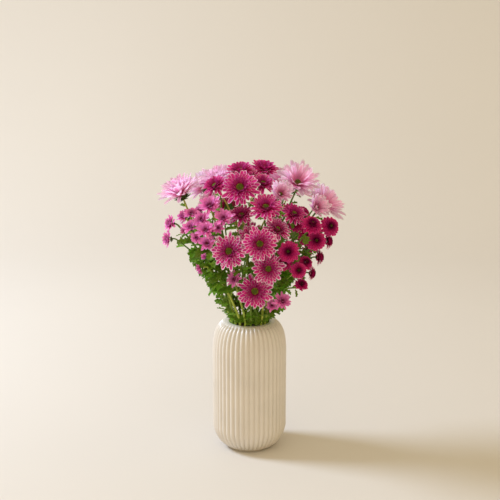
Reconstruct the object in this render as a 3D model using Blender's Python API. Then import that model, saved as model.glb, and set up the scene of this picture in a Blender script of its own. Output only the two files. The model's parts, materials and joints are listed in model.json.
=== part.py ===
"""Cut chrysanthemums standing in a ribbed ceramic jar.

The jar stands on z = 0 with its axis on Z. The cut stems stand on the jar's floor in a ring
and lean on the inside of its mouth. Above the mouth each stem forks to its flowers. A cut spray, with
its stem, branches, leaves and flowers, grew as one piece and is one object. The front of the
bunch faces -Y.
"""

import math
from dataclasses import dataclass

import bmesh
import bpy
import numpy as np
from mathutils import Matrix, Vector

# --- jar, in metres ---------------------------------------------------------------------------
JAR_HEIGHT = 0.200
JAR_RADIUS = 0.0563
JAR_WALL = 0.0050
JAR_FLOOR = 0.0070
MOUTH_RADIUS = 0.0300
LIP_ROUNDING = 0.0025
FOOT_RADIUS = 0.0355
FOOT_HEIGHT = 0.0030
SHOULDER_DROP = 0.0500
SHOULDER_POWER = 2.5
HEEL_RISE = 0.0320
HEEL_POWER = 1.6
RIB_COUNT = 44
RIB_DEPTH = 0.0016
RIB_FREE_LIP = 0.0060

# --- flowers and stems, in metres -------------------------------------------------------------
DUO_RADIUS = 0.0245
SPIDER_RADIUS = 0.0330
DAISY_RADIUS = 0.0320
BUTTON_RADIUS = 0.0150
PINK_RADIUS = 0.0115
STEM_RADIUS = 0.0020
BRANCH_RADIUS = 0.0012
NECK_LENGTH = 0.0050
STEM_TAPER = 0.62
LEAF_LENGTH = 0.0400
LEAF_WIDTH_SHARE = 0.62
LEAF_THICKNESS = 0.0008
LEAF_CLEARANCE = 0.0030
PETIOLE_WIDTH = 0.0022

SEAT_GAP = 0.0003
FLOWER_GAP = 0.0006
STEM_GAP = 0.0007

# --- how finely round things are made ---------------------------------------------------------
FLOWER_STEPS = 10
SMALL_FLOWER_STEPS = 8
MAIN_SPANS = 11
BRANCH_SPANS = 6
TUBE_BEVEL = 1
SETTLE_ROUNDS = 150
ROUTE_ROUNDS = 90
SPAN_SHARES = np.array((0.0, 0.25, 0.5, 0.75))


@dataclass
class Kind:
    """A variety of flower. The profile runs from the face's middle, over the rim, to the back."""

    radius: float
    profile: tuple
    steps: int
    colour: tuple


# Profile points are (distance from the axis, distance in front of the middle) as shares of the radius.
KINDS = {
    "duo": Kind(
        DUO_RADIUS,
        ((0, 0.06), (0.50, 0.20), (0.97, 0.12), (0.84, -0.10), (0.26, -0.38), (0.13, -0.40)),
        FLOWER_STEPS,
        (0.55, 0.03, 0.17),
    ),
    "spider": Kind(
        SPIDER_RADIUS,
        ((0, 0.20), (0.50, 0.36), (0.96, 0.24), (0.80, -0.06), (0.24, -0.36), (0.10, -0.40)),
        FLOWER_STEPS,
        (0.80, 0.38, 0.62),
    ),
    "daisy": Kind(
        DAISY_RADIUS,
        ((0, 0.02), (0.45, 0.14), (0.98, 0.30), (0.80, -0.02), (0.22, -0.34), (0.10, -0.38)),
        FLOWER_STEPS,
        (0.86, 0.48, 0.62),
    ),
    "button": Kind(
        BUTTON_RADIUS,
        ((0, 0.42), (0.60, 0.34), (0.98, 0.00), (0.30, -0.50)),
        SMALL_FLOWER_STEPS,
        (0.38, 0.01, 0.08),
    ),
    "pink": Kind(
        PINK_RADIUS,
        ((0, 0.36), (0.60, 0.40), (0.96, 0.14), (0.26, -0.62)),
        SMALL_FLOWER_STEPS,
        (0.74, 0.16, 0.42),
    ),
}

# Each flower: right of, behind and above the middle of the mouth in mm, its radius as a share of
# its variety's, the bearing that it faces (0 is the front, 90 the right) and its rise, in degrees.
SPRAYS = {
    "duo_spray_1": ("duo", [(-27, -84, 136, 1.00, -15, 20), (-6, -70, 144, 0.80, 0, 40)]),
    "duo_spray_2": ("duo", [(22, -92, 144, 0.96, 5, 22), (48, -72, 157, 0.78, 35, 50)]),
    "duo_spray_3": ("duo", [(27, -88, 107, 0.90, 12, 5), (8, -70, 65, 1.00, 0, 8)]),
    "duo_spray_4": ("duo", [(-14, -62, 209, 1.04, -5, 36), (-46, -46, 205, 0.76, -40, 50), (-10, -54, 170, 0.76, -15, 60)]),
    "duo_spray_5": ("duo", [(16, -72, 199, 0.90, 2, 50), (60, -54, 180, 0.74, 30, 50), (23, -32, 215, 0.76, 20, 60)]),
    "duo_spray_6": ("duo", [(-8, -8, 229, 0.86, -15, 75), (22, 8, 226, 0.92, 20, 75), (12, 66, 208, 0.96, 170, 45)]),
    "duo_spray_7": ("duo", [(34, 84, 155, 0.96, 160, 20), (-34, 84, 158, 0.96, 200, 20), (0, 86, 112, 0.92, 180, 5)]),
    "spider_spray_1": ("spider", [(-88, -18, 199, 1.00, -62, 66), (-60, -30, 192, 0.56, -40, 35)]),
    "spider_spray_2": ("spider", [(-46, 10, 212, 0.94, -25, 68), (-66, 60, 196, 0.92, 225, 40)]),
    "daisy_spray_1": ("daisy", [(72, -26, 199, 0.86, 8, 50), (52, -54, 190, 0.56, 15, 35), (46, 18, 209, 0.86, -10, 68), (66, 66, 194, 0.92, 140, 40)]),
    "daisy_spray_2": ("daisy", [(94, -16, 190, 0.86, 58, 45), (90, -54, 172, 0.56, 30, 30)]),
    "button_spray_1": ("button", [(90, -60, 168, 1.06, 18, 48), (64, -50, 160, 0.95, 0, 30), (80, -44, 142, 0.86, 30, 5), (116, -46, 157, 1.00, 22, 22)]),
    "button_spray_2": ("button", [(92, -64, 145, 1.00, 8, 18), (116, -30, 130, 0.86, 80, 8), (103, -36, 107, 0.86, 82, 4), (92, -42, 84, 0.72, 75, -5)]),
    "button_spray_3": ("button", [(51, -82, 135, 1.06, -8, 15), (69, -74, 98, 0.82, 5, 15), (82, -54, 104, 0.80, 35, 40), (52, -66, 106, 0.80, 0, 30), (76, -54, 71, 0.70, 20, 45)]),
    "button_spray_4": ("button", [(84, 58, 152, 1.00, 125, 20), (104, 34, 128, 0.92, 100, 10), (70, 76, 120, 0.92, 140, 10), (90, 46, 96, 0.82, 115, 5)]),
    "pink_spray_1": ("pink", [(-115, -30, 155, 0.98, -55, 15), (-118, -36, 135, 0.98, -60, 5), (-96, -32, 168, 0.80, -50, 45), (-94, -36, 148, 0.66, -60, 15)]),
    "pink_spray_2": ("pink", [(-66, -62, 170, 0.98, -20, 30), (-82, -54, 158, 0.90, -30, 50), (-83, -46, 173, 0.84, -30, 55), (-62, -76, 155, 1.05, -15, 40), (-76, -62, 143, 0.70, -30, 10)]),
    "pink_spray_3": ("pink", [(-56, -58, 189, 1.28, -15, 50), (-37, -74, 174, 1.12, -8, 42), (-52, -78, 140, 0.96, 0, 40), (-44, -68, 158, 0.68, -10, 20)]),
    "pink_spray_4": ("pink", [(48, -60, 47, 1.06, 20, 40), (33, -54, 39, 0.70, 0, 20)]),
    "pink_spray_5": ("pink", [(-72, -46, 92, 0.72, -70, -15), (-22, -58, 80, 0.90, -30, 15), (-64, -64, 114, 0.50, -30, 30)]),
    "pink_spray_6": ("pink", [(-96, 42, 150, 1.05, 245, 20), (-78, 72, 152, 1.00, 225, 25), (-84, 62, 116, 0.95, 235, 5), (-56, 84, 116, 1.00, 205, 5)]),
}


@dataclass
class Flower:
    name: str
    kind: Kind
    spray: str
    centre: np.ndarray
    axis: np.ndarray
    radius: float

    @property
    def middle(self):
        """Centre of the spheroid that holds the flower's solid."""
        ahead = [z for _, z in self.kind.profile]
        return self.centre + self.axis * self.radius * (max(ahead) + min(ahead)) / 2

    @property
    def half_depth(self):
        ahead = [z for _, z in self.kind.profile]
        return self.radius * (max(ahead) - min(ahead)) / 2

    @property
    def back(self):
        return self.centre + self.axis * self.radius * self.kind.profile[-1][1]

    @property
    def neck(self):
        return self.back - self.axis * NECK_LENGTH

    def reach(self, direction):
        """How far the flower's spheroid reaches from its middle along a unit direction."""
        ahead = float(direction @ self.axis)
        across = max(0.0, 1 - ahead * ahead)
        return math.sqrt(self.radius**2 * across + self.half_depth**2 * ahead * ahead)


@dataclass
class Route:
    """The line of a stem or a branch, as points, and the flower that it ends in."""

    spray: str
    points: np.ndarray
    radius: float
    flower: Flower
    held: int = 1
    parent: object = None
    root: int = 0


# ----------------------------------------------------------------------------------------------
# Making objects
# ----------------------------------------------------------------------------------------------
def clear_scene():
    for obj in list(bpy.data.objects):
        bpy.data.objects.remove(obj, do_unlink=True)


def new_collection(name, parent=None):
    made = bpy.data.collections.new(name)
    (parent or bpy.context.scene.collection).children.link(made)
    return made


def new_material(name, colour, roughness):
    material = bpy.data.materials.new(name)
    material.use_nodes = True
    shader = material.node_tree.nodes["Principled BSDF"]
    shader.inputs["Base Color"].default_value = (*colour, 1)
    shader.inputs["Roughness"].default_value = roughness
    return material


def new_object(name, mesh, material, collection):
    obj = bpy.data.objects.new(name, mesh)
    mesh.materials.clear()
    mesh.materials.append(material)
    collection.objects.link(obj)
    return obj


def lathe(profile, steps):
    """A closed solid turned about Z from (radius, height) points that run from axis to axis."""
    bm = bmesh.new()
    points = [bm.verts.new((radius, 0, height)) for radius, height in profile]
    line = [bm.edges.new(pair) for pair in zip(points, points[1:])]
    bmesh.ops.spin(
        bm,
        geom=points + line,
        cent=(0, 0, 0),
        axis=(0, 0, 1),
        angle=math.tau,
        steps=steps,
        use_merge=True,
    )
    bmesh.ops.remove_doubles(bm, verts=bm.verts, dist=1e-6)
    bmesh.ops.recalc_face_normals(bm, faces=bm.faces)
    return bm


def bmesh_to_mesh(bm, name, smooth_under=math.radians(60)):
    mesh = bpy.data.meshes.new(name)
    bm.to_mesh(mesh)
    bm.free()
    mesh.shade_smooth()
    mesh.set_sharp_from_angle(angle=smooth_under)
    return mesh


def unit(vector):
    return vector / np.linalg.norm(vector)


def facing(bearing, rise):
    """Unit vector for a bearing from the front, towards the right, and a rise above level."""
    bearing, rise = math.radians(bearing), math.radians(rise)
    level = math.cos(rise)
    return np.array((math.sin(bearing) * level, -math.cos(bearing) * level, math.sin(rise)))


# ----------------------------------------------------------------------------------------------
# Jar
# ----------------------------------------------------------------------------------------------
def corner(low, high, power, count, rising):
    """Points of a rounded corner between two (radius, height) ends, without the first."""
    made = []
    for n in range(1, count + 1):
        turn = n / count * math.pi / 2
        first, second = math.sin(turn) ** (2 / power), 1 - math.cos(turn) ** (2 / power)
        if rising:
            first, second = second, first
        made.append((low[0] + (high[0] - low[0]) * first, low[1] + (high[1] - low[1]) * second))
    return made


def jar_wall(inset):
    """Outer or inner wall from the heel up to the mouth, inset from the outside by a thickness."""
    radius = JAR_RADIUS - inset
    heel = (FOOT_RADIUS - inset, FOOT_HEIGHT if inset == 0 else JAR_FLOOR)
    side = (radius, FOOT_HEIGHT + HEEL_RISE)
    shoulder = (radius, JAR_HEIGHT - SHOULDER_DROP)
    mouth = (MOUTH_RADIUS + LIP_ROUNDING, JAR_HEIGHT - inset)
    count = 5 if inset == 0 else 3
    return [
        heel,
        *corner(heel, side, HEEL_POWER, count, rising=False),
        *corner(shoulder, mouth, SHOULDER_POWER, count + 1, rising=True),
    ]


def jar_profile():
    """The whole section, from the middle of the underside out, up, over the lip and down inside."""
    outer = jar_wall(0)
    inner = jar_wall(JAR_WALL)
    inner_mouth = (MOUTH_RADIUS, JAR_HEIGHT - JAR_WALL)
    outer_lip = (MOUTH_RADIUS, JAR_HEIGHT - LIP_ROUNDING)
    return [(0, 0), (FOOT_RADIUS, 0), *outer, outer_lip, inner_mouth, *reversed(inner[:-1]), (0, JAR_FLOOR)]


def rib_share(radius, height):
    """1 on the ribbed wall, fading to 0 at the plain lip and at the foot."""
    from_lip = (radius - MOUTH_RADIUS - RIB_FREE_LIP) / RIB_FREE_LIP
    if height < JAR_HEIGHT - SHOULDER_DROP:
        from_lip = 1
    from_foot = (height - FOOT_HEIGHT) / FOOT_HEIGHT
    return max(0.0, min(1.0, from_lip, from_foot))


def make_jar(material, collection):
    bm = lathe(jar_profile(), 2 * RIB_COUNT)
    bm.normal_update()
    inner_limit = JAR_RADIUS - JAR_WALL / 2
    for vertex in list(bm.verts):
        x, y, z = vertex.co
        radius = math.hypot(x, y)
        outside = vertex.normal.x * x + vertex.normal.y * y > 0 or radius > inner_limit
        if not outside or radius < FOOT_RADIUS and z < FOOT_HEIGHT:
            continue
        crest = 0.5 * math.cos(RIB_COUNT * math.atan2(y, x)) - 0.5
        vertex.co += vertex.normal * (crest * RIB_DEPTH * rib_share(radius, z))
    return new_object("jar", bmesh_to_mesh(bm, "jar"), material, collection)


# ----------------------------------------------------------------------------------------------
# Where the flowers go
# ----------------------------------------------------------------------------------------------
def plan_flowers():
    """The flowers at their planned places, named by variety in the order of the plan."""
    flowers = []
    for spray, (kind_name, rows) in SPRAYS.items():
        kind = KINDS[kind_name]
        for x, y, z, share, bearing, rise in rows:
            centre = np.array((x, y, z)) / 1000 + (0, 0, JAR_HEIGHT)
            number = sum(flower.kind is kind for flower in flowers) + 1
            name = f"{kind_name}_flower_{number:02d}"
            flowers.append(Flower(name, kind, spray, centre, facing(bearing, rise), kind.radius * share))
    return flowers


def push_off(flower, point):
    """The shortest way, roughly, that takes a stem at a point out of a flower's spheroid."""
    away = point - flower.middle
    ahead = float(away @ flower.axis)
    across = float(np.linalg.norm(away - ahead * flower.axis))
    clear = 2 * STEM_RADIUS
    level = math.hypot(across / (flower.radius + clear), ahead / (flower.half_depth + clear))
    return away * max(0, 1 / max(level, 0.2) - 1)


def settle(flowers):
    """Moves flowers that press on each other apart, each by half, as the petals would."""
    for _ in range(SETTLE_ROUNDS):
        moved = False
        for i, first in enumerate(flowers):
            for second in flowers[i + 1 :]:
                between = second.middle - first.middle
                distance = np.linalg.norm(between)
                if distance > first.radius + second.radius + FLOWER_GAP:
                    continue
                direction = between / distance
                wanted = first.reach(direction) + second.reach(direction) + FLOWER_GAP
                push = direction * max(0, wanted - distance)
                push = push + push_off(first, second.neck) - push_off(second, first.neck)
                if push.any():
                    first.centre = first.centre - push / 2
                    second.centre = second.centre + push / 2
                    moved = True
        if not moved:
            return


# ----------------------------------------------------------------------------------------------
# Where the stems go
# ----------------------------------------------------------------------------------------------
def bearing_of(points):
    middle = np.mean(points, axis=0)
    return math.atan2(middle[1], middle[0])


def bezier(start, start_pull, end, end_pull, count):
    t = np.linspace(0, 1, count + 1)[:, None]
    first, second = start + start_pull, end - end_pull
    return (1 - t) ** 3 * start + 3 * t * (1 - t) ** 2 * first + 3 * t * t * (1 - t) * second + t**3 * end


def stem_end(flower):
    """Where a stem ends, inside the back of its flower."""
    return flower.back + flower.axis * 0.15 * flower.radius


def mouth_point(bearing, height):
    lean = MOUTH_RADIUS - STEM_RADIUS - SEAT_GAP
    return np.array((lean * math.cos(bearing), lean * math.sin(bearing), height))


def plan_stems(flowers):
    """One main stem for each spray, round the mouth in the order of the flowers' bearings."""
    by_spray = {spray: [f for f in flowers if f.spray == spray] for spray in SPRAYS}
    order = sorted(by_spray, key=lambda spray: bearing_of([f.centre for f in by_spray[spray]]))
    stems = {}
    for place, spray in enumerate(order):
        leader = by_spray[spray][0]
        bearing = math.tau * (place + 0.5) / len(order) - math.pi
        start = mouth_point(bearing, JAR_HEIGHT + STEM_RADIUS)
        end = stem_end(leader)
        span = np.linalg.norm(end - start)
        outward = unit(np.array((math.cos(bearing), math.sin(bearing), 0)) * 0.35 + (0, 0, 1))
        points = bezier(start, outward * span * 0.35, end, leader.axis * span * 0.30, MAIN_SPANS)
        points[-2] = leader.neck
        stems[spray] = Route(spray, points, STEM_RADIUS, leader, held=2)
    return stems


def plan_branches(flowers, stems):
    """A branch from its spray's main stem to each flower but the first."""
    branches = []
    for spray, stem in stems.items():
        others = [f for f in flowers if f.spray == spray and f is not stem.flower]
        for flower in others:
            end = stem_end(flower)
            below = end[2] - 0.45 * np.linalg.norm(end - stem.points[0])
            low = int(np.argmin(np.abs(stem.points[:-3, 2] - below)))
            low = max(3, low)
            start = stem.points[low]
            onward = unit(stem.points[low + 1] - stem.points[low - 1])
            span = np.linalg.norm(end - start)
            points = bezier(start, onward * span * 0.4, end, flower.axis * span * 0.3, BRANCH_SPANS)
            points[-2] = flower.neck
            branches.append(Route(spray, points, BRANCH_RADIUS, flower, parent=stem, root=low))
    return branches


def closest_shares(a, b, c, d):
    """For each segment a-b against each c-d: the shares along both of the closest points."""
    u, v, w = b - a, d - c, a[:, None] - c[None]
    uu, vv = (u * u).sum(-1)[:, None], (v * v).sum(-1)[None]
    uv = u @ v.T
    uw, vw = (u[:, None] * w).sum(-1), (v[None] * w).sum(-1)
    spread = np.maximum(uu * vv - uv * uv, 1e-18)
    s = np.clip((uv * vw - vv * uw) / spread, 0, 1)
    t = np.clip((uv * s + vw) / vv, 0, 1)
    s = np.clip((uv * t - uw) / uu, 0, 1)
    return s, t


def push_off_flowers(route, flowers):
    """Moves a route's free points where its spans run through other flowers' spheroids.

    A span that runs through a flower moves sideways off it; one that runs along it moves to the
    front or to the back.
    """
    others = [flower for flower in flowers if flower is not route.flower]
    axes = np.array([flower.axis for flower in others])
    clear = route.radius + STEM_GAP
    wide = np.array([flower.radius for flower in others]) * 1.03 + clear
    deep = np.array([flower.half_depth for flower in others]) * 1.12 + clear
    spans = np.diff(route.points, axis=0)
    places = route.points[:-1, None] + spans[:, None] * SPAN_SHARES[:, None]
    away = places[:, :, None] - np.array([flower.middle for flower in others])
    ahead = (away * axes).sum(-1)
    across = away - ahead[..., None] * axes
    off = np.linalg.norm(across, axis=-1)
    inside = (off / wide) ** 2 + (ahead / deep) ** 2 < 1
    sideways = wide * np.sqrt(np.clip(1 - (ahead / deep) ** 2, 0, 1)) - off
    lengthways = deep * np.sqrt(np.clip(1 - (off / wide) ** 2, 0, 1)) - np.abs(ahead)
    level = spans / np.linalg.norm(spans, axis=1)[:, None]
    through = (np.abs(level @ axes.T) > 0.5)[:, None] * np.ones_like(inside)
    move = np.where(
        through[..., None],
        across / np.maximum(off, 1e-6)[..., None] * sideways[..., None],
        np.sign(ahead)[..., None] * axes * lengthways[..., None],
    )
    move = (move * inside[..., None]).sum(2) * 0.35
    total = np.zeros_like(route.points)
    total[:-1] += (move * (1 - SPAN_SHARES)[:, None]).sum(1)
    total[1:] += (move * SPAN_SHARES[:, None]).sum(1)
    total[: route.held] = total[-2:] = 0
    route.points += total


def push_apart(routes):
    """Moves routes of different sprays apart where they come closer than their radii and a gap."""
    starts = np.concatenate([route.points[:-1] for route in routes])
    ends = np.concatenate([route.points[1:] for route in routes])
    owner = np.concatenate([[i] * (len(route.points) - 1) for i, route in enumerate(routes)])
    index = np.concatenate([np.arange(len(route.points) - 1) for route in routes])
    sprays = np.array([list(SPRAYS).index(route.spray) for route in routes])[owner]
    radii = np.array([route.radius for route in routes])[owner]
    s, t = closest_shares(starts, ends, starts, ends)
    here = starts[:, None] + (ends - starts)[:, None] * s[..., None]
    there = starts[None] + (ends - starts)[None] * t[..., None]
    apart = here - there
    distance = np.linalg.norm(apart, axis=-1)
    wanted = radii[:, None] + radii[None] + STEM_GAP
    close = (distance < wanted) & (sprays[:, None] != sprays[None])
    for i, j in zip(*np.nonzero(close)):
        route, k = routes[owner[i]], index[i]
        push = apart[i, j] / max(distance[i, j], 1e-6) * (wanted[i, j] - distance[i, j]) * 0.6
        last = len(route.points) - 2
        if route.held <= k < last:
            route.points[k] += push * (1 - s[i, j])
        if route.held <= k + 1 < last:
            route.points[k + 1] += push * s[i, j]


def ease(route, share):
    """Smooths the free points a little, which keeps a pushed stem a fair curve."""
    inner = slice(route.held, -2)
    p = route.points
    middle = (p[route.held - 1 : -3] + p[route.held + 1 : -1]) / 2
    p[inner] += (middle - p[inner]) * share


def clear_routes(routes, flowers):
    for turn in range(ROUTE_ROUNDS):
        for route in routes:
            if turn < ROUTE_ROUNDS * 0.7:
                ease(route, 0.08)
            push_off_flowers(route, flowers)
        push_apart(routes)
        for route in routes:
            if route.parent:
                route.points[0] = route.parent.points[route.root]


# ----------------------------------------------------------------------------------------------
# Making flowers, stems and leaves
# ----------------------------------------------------------------------------------------------
def turn_to(axis, centre):
    """Matrix that carries the Z axis to a direction and the origin to a point."""
    return Matrix.Translation(Vector(centre)) @ Vector(axis).to_track_quat("Z", "Y").to_matrix().to_4x4()


def make_flower(flower, material, collection):
    profile = [(r * flower.radius, z * flower.radius) for r, z in flower.kind.profile]
    profile.append((0, profile[-1][1]))
    mesh = bmesh_to_mesh(lathe(profile, flower.kind.steps), flower.name)
    obj = new_object(flower.name, mesh, material, collection)
    obj.matrix_world = turn_to(flower.axis, flower.centre)


def make_tube(name, points, radius, material, collection, taper=1.0):
    """A round rod along points, as a welded mesh, so that a Boolean can take it."""
    curve = bpy.data.curves.new(name, "CURVE")
    curve.dimensions = "3D"
    curve.bevel_depth = radius
    curve.bevel_resolution = TUBE_BEVEL
    curve.use_fill_caps = True
    spline = curve.splines.new("POLY")
    spline.points.add(len(points) - 1)
    for n, (point, where) in enumerate(zip(spline.points, points)):
        point.co = (*where, 1)
        point.radius = 1 + (taper - 1) * n / (len(points) - 1)
    guide = bpy.data.objects.new(name + "_line", curve)
    bpy.context.scene.collection.objects.link(guide)
    graph = bpy.context.evaluated_depsgraph_get()
    mesh = bpy.data.meshes.new_from_object(guide.evaluated_get(graph))
    bpy.data.objects.remove(guide)
    bm = bmesh.new()
    bm.from_mesh(mesh)
    bmesh.ops.remove_doubles(bm, verts=bm.verts, dist=1e-6)
    bmesh.ops.recalc_face_normals(bm, faces=bm.faces)
    bm.to_mesh(mesh)
    bm.free()
    mesh.shade_smooth()
    return new_object(name, mesh, material, collection)


def foot_points(stem):
    """The stretch inside the jar: cut end on the floor, then straight up to the mouth."""
    mouth = stem.points[0]
    bearing = math.atan2(mouth[1], mouth[0])
    stand = FOOT_RADIUS - JAR_WALL - 2 * STEM_RADIUS
    foot = np.array((stand * math.cos(bearing), stand * math.sin(bearing), JAR_FLOOR + SEAT_GAP))
    return [foot, mouth_point(bearing, JAR_HEIGHT - JAR_WALL - STEM_RADIUS)]


def make_spray(stem, branches, flowers, leaves, material, guides, collection):
    """A cut stem joined with its branches, flowers and leaves into one solid."""
    line = [*foot_points(stem), *stem.points]
    obj = make_tube(stem.spray, line, stem.radius, material, collection, taper=STEM_TAPER)
    parts = new_collection(f"{stem.spray}_parts", guides)
    for number, branch in enumerate(branches, 1):
        make_tube(f"{stem.spray}_branch_{number}", branch.points, branch.radius, material, parts)
    for flower in flowers:
        make_flower(flower, material, parts)
    for number, leaf in enumerate(leaves, 1):
        make_leaf(f"{stem.spray}_leaf_{number}", leaf, material, parts)
    for part in parts.objects:
        part.hide_render = True
        part.display_type = "WIRE"
    joined = obj.modifiers.new("Join", "BOOLEAN")
    joined.operation = "UNION"
    joined.operand_type = "COLLECTION"
    joined.collection = parts
    joined.solver = "EXACT"


# Each leaf: the spray that carries it, how far above the mouth it leaves the stem in mm, its
# length as a share of LEAF_LENGTH, the bearing that it points to, and its rise, in degrees.
LEAVES = [
    ("pink_spray_5", 66, 1.00, -75, -8),
    ("pink_spray_5", 40, 0.85, -95, 12),
    ("pink_spray_5", 14, 0.90, -60, -12),
    ("pink_spray_1", 52, 0.95, -100, -5),
    ("pink_spray_1", 26, 0.90, -80, 10),
    ("pink_spray_2", 16, 0.80, -35, 5),
    ("pink_spray_2", 92, 0.90, -55, 25),
    ("duo_spray_1", 12, 0.80, -18, -8),
    ("duo_spray_3", 14, 0.80, 8, -10),
    ("duo_spray_2", 20, 0.75, 20, -5),
    ("pink_spray_4", 14, 0.80, 48, -10),
    ("button_spray_3", 46, 1.00, 62, -30),
    ("button_spray_3", 22, 0.90, 75, 5),
    ("button_spray_2", 62, 0.95, 85, -8),
    ("button_spray_4", 40, 1.00, 130, -15),
    ("button_spray_4", 16, 0.85, 110, 0),
    ("duo_spray_7", 18, 0.85, 160, -5),
    ("pink_spray_6", 44, 1.00, 240, -15),
    ("pink_spray_6", 18, 0.90, 215, 0),
    ("daisy_spray_1", 84, 0.90, 100, 15),
]
LEAF_TURNS = (0, 10, -10, 20, -20, 30, -30, 45, -45, 60, -60)


@dataclass
class Leaf:
    spray: str
    base: np.ndarray
    direction: np.ndarray
    length: float


def leaf_outline(length):
    """Half the outline of a lobed leaf, stalk first: pairs of (along, across)."""
    width = length * LEAF_WIDTH_SHARE / 2
    lobes = ((0.24, 0.20), (0.34, 0.78), (0.45, 0.46), (0.56, 1.00), (0.68, 0.52), (0.80, 0.66), (0.90, 0.40), (1.0, 0.06))
    stalk = [(0, PETIOLE_WIDTH / 2)]
    return stalk + [(along * length, max(across * width, PETIOLE_WIDTH / 2)) for along, across in lobes]


def make_leaf(name, leaf, material, collection):
    """A flat leaf whose stalk starts on its stem's centre line."""
    half = leaf_outline(leaf.length)
    outline = half + [(along, -across) for along, across in reversed(half)]
    bm = bmesh.new()
    under = [bm.verts.new((along, across, -LEAF_THICKNESS / 2)) for along, across in outline]
    grown = bmesh.ops.extrude_face_region(bm, geom=[bm.faces.new(under)])
    raised = [item for item in grown["geom"] if isinstance(item, bmesh.types.BMVert)]
    bmesh.ops.translate(bm, verts=raised, vec=(0, 0, LEAF_THICKNESS))
    bmesh.ops.recalc_face_normals(bm, faces=bm.faces)
    obj = new_object(name, bmesh_to_mesh(bm, name, math.radians(30)), material, collection)
    along = Vector(leaf.direction)
    across = Vector((0, 0, 1)).cross(along).normalized()
    turned = Matrix((along, across, along.cross(across))).transposed().to_4x4()
    obj.matrix_world = Matrix.Translation(Vector(leaf.base)) @ turned


def leaf_room(leaf, routes, flowers):
    """The least distance from a grid of points on a leaf to the other sprays round it."""
    across = unit(np.cross((0, 0, 1), leaf.direction))
    along, wide = np.meshgrid(np.linspace(0.06, 1, 10), np.linspace(-0.5, 0.5, 5))
    width = leaf.length * LEAF_WIDTH_SHARE * np.clip(6 * (along - 0.1), 0.05, 1)
    grid = leaf.base + along[..., None] * leaf.length * leaf.direction + (wide * width)[..., None] * across
    grid = grid.reshape(-1, 3)
    room = grid[:, 2].min() - JAR_HEIGHT
    for route in routes:
        if route.spray == leaf.spray:
            continue
        starts, line = route.points[:-1], np.diff(route.points, axis=0)
        share = np.clip(((grid[:, None] - starts) * line).sum(-1) / (line * line).sum(-1), 0, 1)
        gap = np.linalg.norm(grid[:, None] - starts - line * share[..., None], axis=-1)
        room = min(room, gap.min() - route.radius)
    for flower in flowers:
        away = grid - flower.middle
        ahead = away @ flower.axis
        across_it = np.linalg.norm(away - ahead[:, None] * flower.axis, axis=1)
        level = np.hypot(across_it / flower.radius, ahead / flower.half_depth)
        room = min(room, (level.min() - 1) * flower.half_depth)
    return room


def on_stem(stem, height):
    """The point on a stem's centre line at a height above the mouth."""
    above = JAR_HEIGHT + height
    n = int(np.argmax(stem.points[:, 2] > above))
    low, high = stem.points[n - 1], stem.points[n]
    return low + (high - low) * (above - low[2]) / (high[2] - low[2])


def plan_leaves(stems, routes, flowers):
    """Each leaf, turned from its planned bearing until no other spray is in its way."""
    placed = []
    for spray, height, share, bearing, rise in LEAVES:
        base = on_stem(stems[spray], height / 1000)
        choices = []
        for turn in LEAF_TURNS:
            leaf = Leaf(spray, base, facing(bearing + turn, rise), LEAF_LENGTH * share)
            room = min(leaf_room(leaf, routes, flowers), LEAF_CLEARANCE)
            room = min([room] + [leaf_distance(leaf, other) for other in placed])
            choices.append((room, -abs(turn), leaf))
        placed.append(max(choices, key=lambda choice: choice[:2])[2])
    return placed


def leaf_distance(first, second):
    """Distance between the middle lines of two leaves, less their widths' reach, if in two sprays."""
    if first.spray == second.spray:
        return math.inf
    shares = np.linspace(0, 1, 8)[:, None]
    one = first.base + first.direction * first.length * shares
    two = second.base + second.direction * second.length * shares
    near = np.linalg.norm(one[:, None] - two[None], axis=-1).min()
    return near - LEAF_WIDTH_SHARE * (first.length + second.length) / 2


# ----------------------------------------------------------------------------------------------
def main():
    clear_scene()
    bunch = new_collection("chrysanthemums_in_a_jar")
    guides = new_collection("guides")
    guides.hide_render = True
    make_jar(new_material("ceramic", (0.80, 0.74, 0.64), 0.45), bunch)
    flowers = plan_flowers()
    settle(flowers)
    stems = plan_stems(flowers)
    clear_routes(list(stems.values()), flowers)
    branches = plan_branches(flowers, stems)
    routes = [*stems.values(), *branches]
    clear_routes(routes, flowers)
    leaves = plan_leaves(stems, routes, flowers)

    petals = {name: new_material(name + "_flowers", kind.colour, 0.6) for name, kind in KINDS.items()}
    for spray, stem in stems.items():
        forks = [branch for branch in branches if branch.spray == spray]
        heads = [flower for flower in flowers if flower.spray == spray]
        foliage = [leaf for leaf in leaves if leaf.spray == spray]
        make_spray(stem, forks, heads, foliage, petals[SPRAYS[spray][0]], guides, bunch)


main()
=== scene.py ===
"""The looks of a bunch of chrysanthemums that stands in a ribbed ceramic jar.

Laid out as an add-on and run as a script. The sizes and the plan of the bunch are those of the
solid model, so that every stem and flower lies where its solid does.
"""

import json
import math
from dataclasses import dataclass
from functools import lru_cache

import bmesh
import bpy
import numpy as np
from bpy.props import FloatProperty, FloatVectorProperty, IntProperty, PointerProperty
from mathutils import Matrix, Vector

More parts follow.
